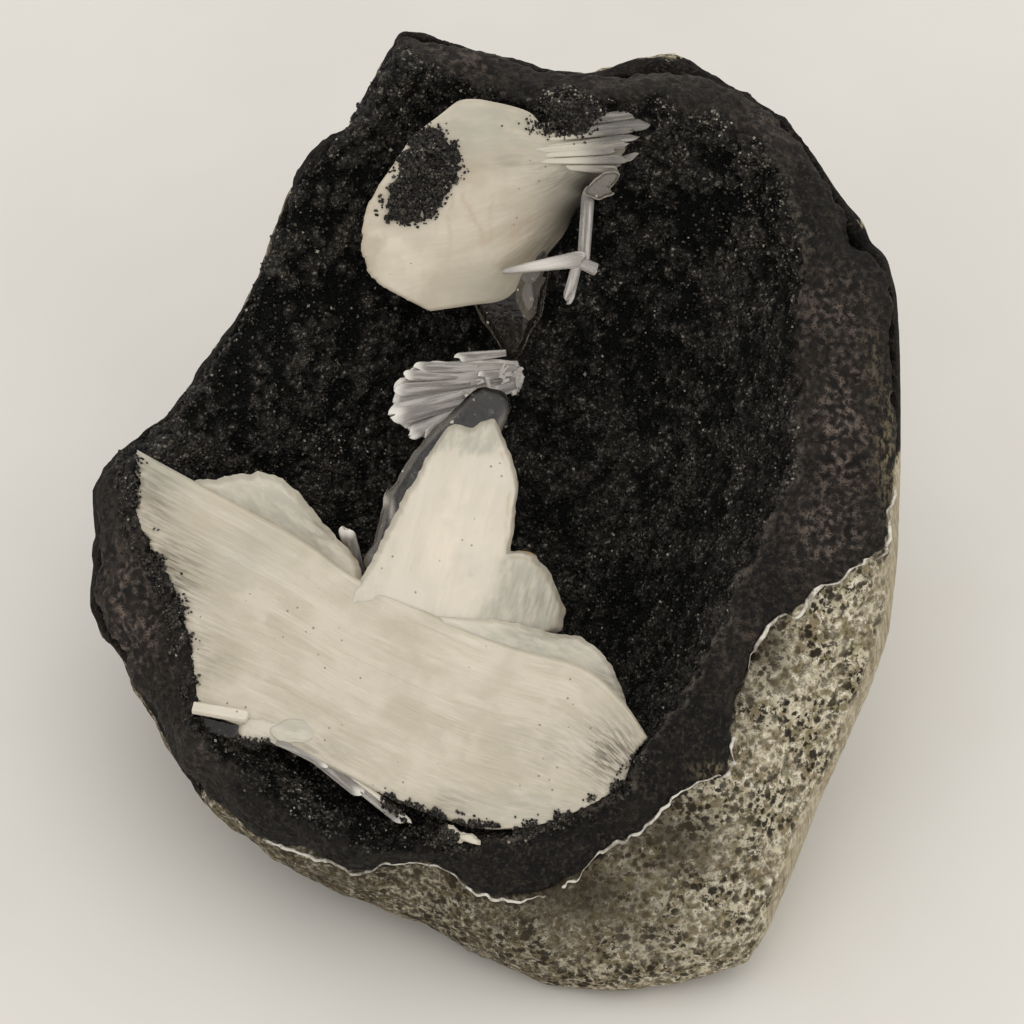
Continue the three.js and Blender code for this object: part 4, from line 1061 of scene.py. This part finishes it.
def wall_grains(wall, material):
    """Grains strewn over the druse of the hollow's wall, thicker where it is frosted."""
    points = points_of(wall)
    rng = np.random.default_rng(200)
    density = 0.35 + 0.5 * spots(points, FROST_AND_GLINTS)
    chosen = np.flatnonzero((druse_share(points) > 0.5) & (rng.uniform(size=len(points)) < density))
    chosen = rng.permutation(chosen)[:WALL_GRAINS]
    centres = points[chosen] + rng.uniform(-0.15, 0.15, (len(chosen), 3)) + np.array([0, 0, 0.05])
    grains("wall_grains", centres, rng.uniform(0.22, 0.6, len(chosen)), 201, 0.2, material)


def front_surface():
    """Search tree of every piece made so far, to find what the viewer sees at a place."""
    points, faces, start = [], [], 0
    for piece in made:
        points.append(points_of(piece))
        faces += [[corner + start for corner in polygon.vertices] for polygon in piece.data.polygons]
        start += len(piece.data.vertices)
    return BVHTree.FromPolygons(np.vstack(points).tolist(), faces)


def landed_height(tree, place):
    """Height of the front surface at a place, or very low beside it."""
    hit = tree.ray_cast(Vector((place[0], place[1], 60.0)), Vector((0, 0, -1)))[0]
    return -60.0 if hit is None else hit.z


def landed(tree, places, lift):
    """Drops places onto the front surface and lifts them a little off it."""
    heights = np.array([landed_height(tree, place) for place in places])
    found = heights > -59
    return np.c_[places, heights + lift][found]


def strewn(outline, count, rng):
    """Random places in an outline."""
    outline = np.asarray(outline)
    places = rng.uniform(outline.min(axis=0), outline.max(axis=0), (count, 2))
    return places[inside_by(outline, places) > 0]


def black_patch(tree, material):
    """The black crust on the upper sheaf, built up from grains, with a fuzzy border and strays."""
    rng = np.random.default_rng(210)
    places = strewn(DRUSE_PATCH, PATCH_TRIES, rng)
    depth = inside_by(DRUSE_PATCH, places)
    flat = np.c_[places, 0 * depth]
    clumps = lattice_noise(flat, 1.3, 211) + 0.5 * lattice_noise(flat, 0.6, 212)
    kept = depth + 1.1 * clumps > 0.45
    places, depth, clumps = places[kept], depth[kept], clumps[kept]
    rise = (1.0 * ramp(depth, 0, 2.5) + 1.1 * np.clip(clumps + 0.2, 0, 1)) * rng.uniform(0.4, 1, len(depth))
    around = closed_curve(DRUSE_PATCH, 300)
    strays = around[rng.integers(0, 300, 160)] + rng.normal(0, 0.4, (160, 2))
    strays = np.vstack([strays, rng.normal(0, 1, (420, 2)) * np.array([2.2, 0.7]) + np.array([7, 55.2])])
    centres = np.vstack([landed(tree, places, rise), landed(tree, strays, rng.uniform(0, 0.2, len(strays)))])
    # Grains on the higher clumps are lighter: painted light on their tops, painted shade between them
    glow = np.r_[0.04 + 0.26 * np.clip(clumps, 0, 1), np.full(len(centres) - len(clumps), 0.2)]
    sizes = rng.uniform(*GRAIN_SIZES, len(centres))
    grains("black_patch", centres, sizes, 213, glow, material, "druse_crust")


def druse_nub(material, grain):
    """A lump of druse that overhangs the upper sheaf from the hollow's top wall."""
    rows, columns = 70, 120
    polar = np.linspace(0, math.pi, rows)[:, None]
    turn = np.linspace(0, 2 * math.pi, columns, endpoint=False)[None, :]
    ball = [np.sin(polar) * np.cos(turn), np.sin(polar) * np.sin(turn), np.cos(polar) + 0 * turn]
    ball = np.stack(ball, axis=-1).reshape(-1, 3)
    points = ball * np.array([5.0, 2.9, 3.2]) + np.array([7.8, 58, -7.2])
    points[:, 1] -= 1.4 * np.exp(-(((points[:, 0] - 9.6) / 1.8) ** 2)) * (points[:, 1] < 58)
    lumps = 0.9 * lattice_noise(points, 2.4, 230) + 0.5 * (0.5 - cell_distance(points, 1.1, 231))
    points = points + ball * lumps[:, None]
    nub = mesh_object("druse_nub", points, grid_faces(rows, columns, wrap=True))
    paint(nub, "raised", lumps)
    paint(nub, "druse", np.ones(len(points)))
    finish_piece(nub, "druse", material)
    rng = np.random.default_rng(232)
    centres = points[rng.integers(0, len(points), NUB_GRAINS)] + rng.uniform(-0.2, 0.2, (NUB_GRAINS, 3))
    grains("nub_grains", centres, rng.uniform(*GRAIN_SIZES, NUB_GRAINS), 233, 0.3, grain)


# Where the druse creeps over the crystals' edges: a line, how far it spreads and how many grains
CREEP_LINES = [
    (
        [(-54.6, 8.6), (-55.2, 4), (-54.3, -1), (-51.8, -6), (-49.4, -11), (-47.6, -16), (-46.8, -21),
         (-46.4, -26)],
        1.5, 4800,
    ),
    ([(-40, -33.2), (-37, -33.4), (-34, -33.6), (-31, -34.4)], 1.0, 2000),
    ([(-17.4, -40.8), (-15.4, -42.2), (-13, -43.6), (-10.6, -44), (-7, -44.4)], 1.4, 2500),
    ([(-12, -45.8), (-9, -47), (-6, -47.2), (-3.6, -47.2)], 1.2, 1200),
    (
        [(-13, -43.6), (-9, -43.8), (-5, -45), (-1, -45.6), (2, -45.4), (6, -43.8), (10, -42.2), (13, -40.6),
         (16, -38.2), (18, -35)],
        1.2, 4000,
    ),
]


def creeping_grains(tree, material):
    """Druse that creeps over the crystals' edges, in clumps."""
    rng = np.random.default_rng(220)
    found = []
    for line, spread, count in CREEP_LINES:
        places = curve_point(line, rng.uniform(0, 1, count)) + rng.normal(0, spread * 0.5, (count, 2))
        clumps = lattice_noise(np.c_[places, np.zeros(count)], 2.2, 221)
        clumps += 0.6 * lattice_noise(np.c_[places, np.zeros(count)], 0.9, 222)
        places = places[clumps > -0.1]
        found.append(landed(tree, places, rng.uniform(0, 0.35, len(places))))
    centres = np.vstack(found)
    grains("creeping_grains", centres, rng.uniform(*GRAIN_SIZES, len(centres)), 222, 0.25, material)


# Materials

def tone(red, green, blue):
    """A screen colour from 0 to 255 as the shader's linear colour."""
    share = [channel / 255 for channel in (red, green, blue)]
    return (*[c / 12.92 if c <= 0.04045 else ((c + 0.055) / 1.055) ** 2.4 for c in share], 1.0)


class Shader:
    """Short words for building a node material."""

    def __init__(self, name):
        self.material = bpy.data.materials.new(name)
        self.material.use_nodes = True
        self.tree = self.material.node_tree
        self.surface = self.tree.nodes["Principled BSDF"]
        self.coordinates = self.tree.nodes.new("ShaderNodeTexCoord").outputs["Object"]

    def link(self, source, target):
        self.tree.links.new(source, target)

    def node(self, kind, **values):
        new_node = self.tree.nodes.new(kind)
        for key, value in values.items():
            setattr(new_node, key, value)
        return new_node

    def attribute(self, name, output="Fac"):
        return self.node("ShaderNodeAttribute", attribute_name=name).outputs[output]

    def scaled(self, vector, scale):
        mapping = self.node("ShaderNodeMapping")
        mapping.inputs["Scale"].default_value = scale
        self.link(vector, mapping.inputs["Vector"])
        return mapping.outputs["Vector"]

    def noise(self, size, detail=3, roughness=0.55, vector=None, output="Fac"):
        """Noise with features of the given size in millimetres."""
        texture = self.node("ShaderNodeTexNoise")
        texture.inputs["Scale"].default_value = 1 / (size * MM)
        texture.inputs["Detail"].default_value = detail
        texture.inputs["Roughness"].default_value = roughness
        self.link(vector or self.coordinates, texture.inputs["Vector"])
        return texture.outputs[output]

    def cells(self, size, output="Distance", vector=None):
        texture = self.node("ShaderNodeTexVoronoi")
        texture.inputs["Scale"].default_value = 1 / (size * MM)
        self.link(vector or self.coordinates, texture.inputs["Vector"])
        return texture.outputs[output]

    def stepped(self, value, low, high, out_low=0.0, out_high=1.0):
        remap = self.node("ShaderNodeMapRange", interpolation_type="SMOOTHSTEP")
        for key, number in (("From Min", low), ("From Max", high), ("To Min", out_low), ("To Max", out_high)):
            remap.inputs[key].default_value = number
        self.link(value, remap.inputs["Value"])
        return remap.outputs["Result"]

    def patches(self, size, detail, roughness, low, high, out_low=0.0, out_high=1.0):
        """Noise stepped from one number to another."""
        return self.stepped(self.noise(size, detail, roughness), low, high, out_low, out_high)

    def feed(self, socket, value):
        if isinstance(value, (tuple, float, int)):
            socket.default_value = value
        else:
            self.link(value, socket)

    def math(self, operation, first, second):
        math_node = self.node("ShaderNodeMath", operation=operation)
        self.feed(math_node.inputs[0], first)
        self.feed(math_node.inputs[1], second)
        return math_node.outputs["Value"]

    def plus(self, first, second):
        return self.math("ADD", first, second)

    def most(self, first, second):
        return self.math("MAXIMUM", first, second)

    def times(self, first, *others):
        for other in others:
            first = self.math("MULTIPLY", first, other)
        return first

    def mix(self, share, first, second):
        mixer = self.node("ShaderNodeMix", data_type="RGBA")
        for socket, value in ((0, share), (6, first), (7, second)):
            self.feed(mixer.inputs[socket], value)
        return mixer.outputs[2]

    def covered(self, colour, *layers):
        """Lays shades over a colour one after another, each with its share."""
        for share, red, green, blue in layers:
            colour = self.mix(share, colour, tone(red, green, blue))
        return colour

    def bump(self, height, distance, strength=1.0):
        bumper = self.node("ShaderNodeBump")
        bumper.inputs["Distance"].default_value = distance * MM
        bumper.inputs["Strength"].default_value = strength
        self.link(height, bumper.inputs["Height"])
        return bumper.outputs["Normal"]

    def finish(self, colour, roughness, normal=None, **fixed):
        self.link(colour, self.surface.inputs["Base Color"])
        self.link(roughness, self.surface.inputs["Roughness"])
        if normal is not None:
            self.link(normal, self.surface.inputs["Normal"])
        for key, value in fixed.items():
            self.surface.inputs[key.replace("_", " ")].default_value = value
        return self.material


def basalt_material():
    """Pale basalt crowded with dark crystals, with patches of painted shade towards its lower left, and dark
    under its rind.
    """
    s = Shader("salt_and_pepper_basalt")
    warp = s.node("ShaderNodeVectorMath", operation="SCALE")
    warp.inputs["Scale"].default_value = 0.9 * MM
    s.link(s.noise(0.6, 2, 0.6, output="Color"), warp.inputs[0])
    warped = s.node("ShaderNodeVectorMath", operation="ADD")
    s.link(s.coordinates, warped.inputs[0])
    s.link(warp.outputs["Vector"], warped.inputs[1])
    place = warped.outputs["Vector"]
    dark = s.stepped(s.noise(0.9, 3, 0.7, place), 0.54, 0.61)
    for size, edge in ((1.7, 0.5), (1.0, 0.55)):
        crystals = s.stepped(s.cells(size, "Distance", place), 0.3, edge, 1, 0)
        some = s.stepped(s.cells(size, "Color", place), 0.36, 0.46)
        dark = s.most(dark, s.times(crystals, some))
    crowded = s.patches(6, 2, 0.55, 0.35, 0.62, 0.45, 1.0)
    # Painted shade, in patches, towards the basalt's left and bottom
    left_shade_patches = s.times(s.attribute("shade"), s.patches(0.7, 3, 0.7, 0.4, 0.6, 0.25, 0.85))
    stained = s.times(s.attribute("stain"), s.patches(2.2, 4, 0.7, 0.36, 0.52, 0.7, 1.0))
    colour = s.covered(
        s.mix(s.patches(2.2, 3, 0.6, 0.42, 0.58), tone(136, 124, 99), tone(202, 192, 168)),
        (s.patches(1.0, 2, 0.6, 0.52, 0.62), 228, 219, 198),
        (s.patches(0.5, 2, 0.6, 0.52, 0.64, 0, 0.7), 112, 101, 78),
        (s.patches(1.7, 2, 0.5, 0.58, 0.68, 0, 0.6), 132, 126, 88),
        (s.times(dark, crowded, 0.96), 33, 29, 22),
        (left_shade_patches, 58, 50, 40),
        (s.times(stained, 0.92), 52, 45, 35),
    )
    grain = s.noise(1.0, 2, 0.5, s.scaled(s.coordinates, (1.6, 1.6, 0.12)))
    worn = s.mix(s.stepped(grain, 0.4, 0.65), tone(190, 178, 154), tone(160, 148, 124))
    colour = s.mix(s.times(s.attribute("worn"), 0.8), colour, worn)
    rind = s.plus(s.attribute("rind"), s.patches(1.2, 4, 0.7, 0.35, 0.65, -0.35, 0.35))
    colour = s.mix(s.stepped(rind, 0.35, 0.6), colour, rind_colour(s))
    # Painted shade in the notch
    colour = s.covered(colour, (s.attribute("notch_shade"), 5, 4, 4))
    height = s.plus(s.noise(1.2, 4, 0.7), s.times(s.cells(0.7), -0.5))
    rough = s.patches(1.5, 3, 0.55, 0.3, 0.7, 0.8, 0.98)
    return s.finish(colour, rough, s.bump(height, 0.4), Specular_IOR_Level=0.1)


def rind_colour(s):
    """Near-black crumbly rind with some browner and paler crumbs."""
    return s.covered(
        s.mix(s.patches(3, 4, 0.7, 0.4, 0.6), tone(9, 8, 7), tone(29, 25, 21)),
        (s.patches(0.8, 4, 0.75, 0.5, 0.62), 54, 47, 40),
        (s.patches(1.8, 2, 0.6, 0.63, 0.72, 0, 0.35), 82, 73, 59),
        (s.patches(0.55, 3, 0.7, 0.5, 0.6, 0, 0.9), 5, 4, 4),
    )


def druse_colour(s):
    """Black velvet: painted shade between the clumps, painted light grey-brown on their tops, and bright
    specks on the tops that are partly pale grains and partly painted glints.
    """
    patches_and_top_light = s.times(s.patches(0.8, 3, 0.7, 0.44, 0.62), s.patches(4, 3, 0.6, 0.35, 0.65, 0.35, 1.0))
    # Painted light and shade: lighter where the surface was raised, dark in the hollows between the clumps
    patches_and_top_light = s.times(s.plus(patches_and_top_light, 0.2), s.stepped(s.attribute("raised"), -0.3, 0.35))
    warm = s.mix(s.patches(2.2, 2, 0.55, 0.4, 0.6), tone(78, 73, 66), tone(72, 71, 68))
    # Bright specks on the lit tops: partly pale grains, partly painted glints
    pale_specks_and_glints = s.stepped(s.cells(0.4, "Color"), 0.66, 0.9)
    return s.covered(s.mix(patches_and_top_light, tone(6, 6, 5), warm), (s.times(pale_specks_and_glints, patches_and_top_light), 168, 160, 148))


def lining_material():
    """The druse in the hollow, and the rind with its mauve and ochre places."""
    s = Shader("druse_and_rind")
    druse = s.attribute("druse")
    mauve = s.covered(
        s.mix(s.patches(1.0, 3, 0.7, 0.45, 0.6), tone(28, 24, 21), tone(130, 116, 106)),
        (s.patches(2.6, 3, 0.65, 0.48, 0.62, 0, 0.75), 46, 40, 35),
        (s.patches(0.5, 2, 0.7, 0.52, 0.62, 0, 0.8), 12, 10, 9),
    )
    rind = s.mix(s.times(s.attribute("mauve"), 0.9), rind_colour(s), mauve)
    veins = s.stepped(s.noise(0.6, 4, 0.7, s.scaled(s.coordinates, (1.0, 0.4, 0.4))), 0.46, 0.62)
    rind = s.covered(rind, (s.times(s.attribute("ochre"), veins, 0.8), 136, 124, 98))
    # Painted highlight along the crest of the lip
    lip_highlight = s.times(s.attribute("lip_highlight"), s.patches(1.2, 3, 0.55, 0.4, 0.6), 0.7)
    colour = s.mix(druse, rind, druse_colour(s))
    # Painted highlight on the lip's crest, painted shade in the notch
    colour = s.covered(colour, (lip_highlight, 104, 94, 86), (s.attribute("notch_shade"), 7, 6, 5))
    height = s.plus(s.noise(0.9, 5, 0.7), s.times(s.cells(0.4), druse, -1.2))
    rough = s.patches(1, 3, 0.55, 0.3, 0.7, 0.45, 0.8)
    return s.finish(colour, rough, s.bump(height, 0.7), Specular_IOR_Level=0.2)


def grain_material():
    """Dark grains; the frosted ones are pale, partly as frost and partly as painted glints."""
    s = Shader("druse_grains")
    shade = s.attribute("shade")
    colour = s.mix(s.stepped(shade, 0.3, 0.85), tone(9, 8, 7), tone(68, 62, 54))
    colour = s.covered(colour, (s.stepped(shade, 0.82, 1.15), 168, 162, 150))
    rough = s.patches(1.2, 3, 0.55, 0.3, 0.7, 0.4, 0.6)
    return s.finish(colour, rough, s.bump(s.noise(0.2, 2), 0.08), Specular_IOR_Level=0.35)


def film_material():
    """The chalky film between rind and basalt."""
    s = Shader("pale_contact_film")
    colour = s.mix(s.patches(4, 3, 0.7, 0.36, 0.56), tone(134, 126, 112), tone(224, 219, 207))
    colour = s.covered(colour, (s.patches(0.8, 2, 0.55, 0.62, 0.7, 0, 0.8), 70, 64, 55))
    return s.finish(colour, s.patches(0.5, 3, 0.55, 0.3, 0.7, 0.45, 0.75), s.bump(s.noise(0.4), 0.15))


def fibre_streaks(s, across, along, detail=3):
    """Noise drawn out along the fibres, from the lengths in millimetres kept on the mesh."""
    lines = s.scaled(s.attribute("fibre", "Vector"), (MM / along, MM / across, MM / across))
    return s.noise(1.0, detail, 0.6, lines)


def stepped_streaks(s, across, along, low, high, out_low=0.0, out_high=1.0, detail=3):
    """Fibre streaks stepped from one number to another."""
    return s.stepped(fibre_streaks(s, across, along, detail), low, high, out_low, out_high)


def pearly_material(name, dull, pale, streaks, bump):
    """Cream stilbite with a pearly sheen, darkened with painted shade where a piece is marked for it. Streaks
    is how strong the lines along the fibres are.
    """
    s = Shader(name)
    plain = s.mix(s.patches(9, 3, 0.5, 0.4, 0.6), dull, pale)
    lined = s.covered(
        s.mix(stepped_streaks(s, 5, 22, 0.36, 0.62), dull, pale),
        (s.times(s.attribute("warm"), 0.8), 234, 223, 205),
        (stepped_streaks(s, 3.2, 40, 0.46, 0.6, 0, 0.6 * streaks, 2), 180, 169, 145),
        (stepped_streaks(s, 1.6, 5, 0.42, 0.66, 0, 0.4 * streaks), 190, 181, 163),
        (stepped_streaks(s, 0.8, 26, 0.48, 0.7, 0, 0.4 * streaks), 182, 172, 152),
        (stepped_streaks(s, 0.4, 5, 0.52, 0.68, 0, 0.4 * streaks), 232, 226, 213),
        (stepped_streaks(s, 0.22, 3, 0.58, 0.72, 0, 0.5 * streaks), 164, 153, 134),
    )
    cool = s.times(s.attribute("cool"), stepped_streaks(s, 1.2, 3, 0.35, 0.6, 0.35, 0.95))
    murk = s.times(s.attribute("murk"), stepped_streaks(s, 0.7, 4, 0.4, 0.6, 0.3, 1.0))
    dots = s.times(s.stepped(s.cells(1.6), 0.08, 0.13, 1, 0), s.patches(9, 2, 0.55, 0.54, 0.6), 0.8)
    colour = s.covered(
        s.mix(s.patches(7, 3, 0.6, 0.4, 0.6, 0.15, 0.9), plain, lined),
        (cool, 168, 166, 153),
        (murk, 104, 95, 80),
        # Wrinkle lines: partly tan tone, partly painted crease shade
        (s.times(s.attribute("wrinkle_tan_and_shade"), 0.5), 178, 152, 124),
        (dots, 126, 100, 66),
        (s.stepped(s.attribute("rim"), 0.0, 1.4, 0.3, 0.0), 178, 168, 148),
        (s.times(s.attribute("ledge"), 0.85), 172, 148, 110),
        # Painted shade where the upper sheaf curls away into the hollow
        (s.times(s.attribute("painted_shade"), 0.97), 26, 23, 20),
    )
    height = s.plus(fibre_streaks(s, 0.5, 14), s.times(fibre_streaks(s, 0.22, 6, 2), 0.5))
    height = s.plus(height, s.times(s.noise(0.7, 3), 0.5))
    rough = stepped_streaks(s, 1.5, 12, 0.3, 0.7, 0.34, 0.54)
    s.surface.subsurface_method = "RANDOM_WALK"
    return s.finish(
        colour, rough, s.bump(height, bump, 0.8), Subsurface_Weight=0.45, Subsurface_Radius=(1.0, 0.93, 0.82),
        Subsurface_Scale=1.2 * MM, Specular_IOR_Level=0.45, IOR=1.5,
    )


def frosted_material(name, body, white):
    """Grey-lilac, half clear leaves with paler ends and edges."""
    s = Shader(name)
    frost = s.most(s.attribute("frost"), s.times(stepped_streaks(s, 0.6, 8, 0.42, 0.64), 0.5))
    s.link(s.stepped(frost, 0.0, 1.0, 0.42, 0.04), s.surface.inputs["Transmission Weight"])
    colour = s.mix(frost, body, white)
    rough = stepped_streaks(s, 1.2, 8, 0.3, 0.7, 0.18, 0.38)
    relief = s.bump(fibre_streaks(s, 0.35, 6), 0.12, 0.7)
    return s.finish(colour, rough, relief, IOR=1.5, Specular_IOR_Level=0.5)


def clear_material(name, body, clearness):
    """Clear plates of a smoky colour with frosted edges and a few bright grains."""
    s = Shader(name)
    frost = s.most(s.attribute("frost"), s.patches(1.2, 3, 0.6, 0.56, 0.72, 0, 0.4))
    specks = s.times(s.stepped(s.cells(0.4, "Color"), 0.84, 0.9), s.patches(2, 3, 0.55, 0.5, 0.6))
    colour = s.covered(body, (frost, 214, 206, 194), (specks, 206, 198, 186))
    clear_share = s.stepped(s.most(frost, specks), 0.0, 1.0, clearness, 0.2)
    s.link(clear_share, s.surface.inputs["Transmission Weight"])
    rough = s.patches(2, 3, 0.55, 0.3, 0.7, 0.08, 0.22)
    return s.finish(colour, rough, s.bump(s.noise(0.8), 0.15, 0.7), IOR=1.5, Specular_IOR_Level=0.5)


# Stage, light and camera

def stage():
    """The pale floor."""
    size = 2.4
    mesh = bpy.data.meshes.new("floor")
    corners = [(-size, -size, 0), (size, -size, 0), (size, size, 0), (-size, size, 0)]
    mesh.from_pydata(corners, [], [(0, 1, 2, 3)])
    floor = bpy.data.objects.new("floor", mesh)
    bpy.context.scene.collection.objects.link(floor)
    s = Shader("pale_floor")
    colour = s.mix(s.stepped(s.noise(60, 3), 0.3, 0.7), tone(222, 218, 211), tone(226, 223, 217))
    s.finish(colour, s.stepped(s.noise(20), 0.3, 0.7, 0.6, 0.7))
    mesh.materials.append(s.material)


def area_light(name, place, size, power, colour):
    light = bpy.data.lights.new(name, "AREA")
    light.shape, light.size, light.energy, light.color = "DISK", size, power, colour
    lamp = bpy.data.objects.new(name, light)
    lamp.location = place
    lamp.rotation_euler = (Vector((0, 0, 0.05)) - Vector(place)).to_track_quat("-Z", "Y").to_euler()
    bpy.context.scene.collection.objects.link(lamp)


def lights():
    """A large soft light above, a weaker one in front and an even backdrop."""
    area_light("key", (0.12, -0.2, 1.2), 1.3, 2.8, (1.0, 0.99, 0.97))
    area_light("fill", (0.2, -0.95, 0.7), 1.4, 1.1, (1.0, 0.995, 0.985))
    world = bpy.data.worlds.new("studio")
    world.use_nodes = True
    backdrop = world.node_tree.nodes["Background"]
    backdrop.inputs["Color"].default_value = (1.0, 0.988, 0.965, 1.0)
    backdrop.inputs["Strength"].default_value = 0.86
    bpy.context.scene.world = world


def camera():
    """Looks straight into the hollow, from the photograph's angle."""
    target = Vector(to_row([0, 0, 0]))
    outward = Vector(FACE_AXES[2])
    lens = bpy.data.cameras.new("camera")
    lens.sensor_width = SENSOR
    lens.lens = SENSOR * CAMERA_DISTANCE / PICTURE_HEIGHT
    lens.clip_start, lens.clip_end = 0.01, 20.0
    view = bpy.data.objects.new("camera", lens)
    view.location = target + outward * CAMERA_DISTANCE * MM
    view.rotation_euler = (-outward).to_track_quat("-Z", "Y").to_euler()
    bpy.context.scene.collection.objects.link(view)
    bpy.context.scene.camera = view
    bpy.context.scene.view_settings.view_transform = "Standard"


camera()
lights()
stage()
basalt()
wall = lining()
contact_film(front_surface())
pearly = pearly_material("fibrous_stilbite", tone(192, 183, 164), tone(210, 201, 184), 0.65, 0.14)
smooth_pearly = pearly_material("bladed_stilbite", tone(206, 198, 182), tone(216, 208, 193), 0.25, 0.08)
waxy = pearly_material("waxy_stilbite", tone(184, 174, 155), tone(202, 193, 175), 0.3, 0.06)
frosted = frosted_material("frosted_stilbite", tone(158, 151, 145), tone(232, 227, 218))
strands = frosted_material("stilbite_strands", tone(122, 117, 112), tone(204, 196, 180))
clear = clear_material("clear_stilbite", tone(84, 74, 64), 0.96)
smoky = clear_material("smoky_stilbite", tone(122, 114, 103), 0.55)
lower_crystals(pearly, smooth_pearly, frosted, clear)
middle_fan(frosted)
upper_crystals(waxy, frosted, strands, clear, smoky)
grain = grain_material()
seen = front_surface()
wall_grains(wall, grain)
black_patch(seen, grain)
creeping_grains(seen, grain)
druse_nub(wall.data.materials[0], grain)
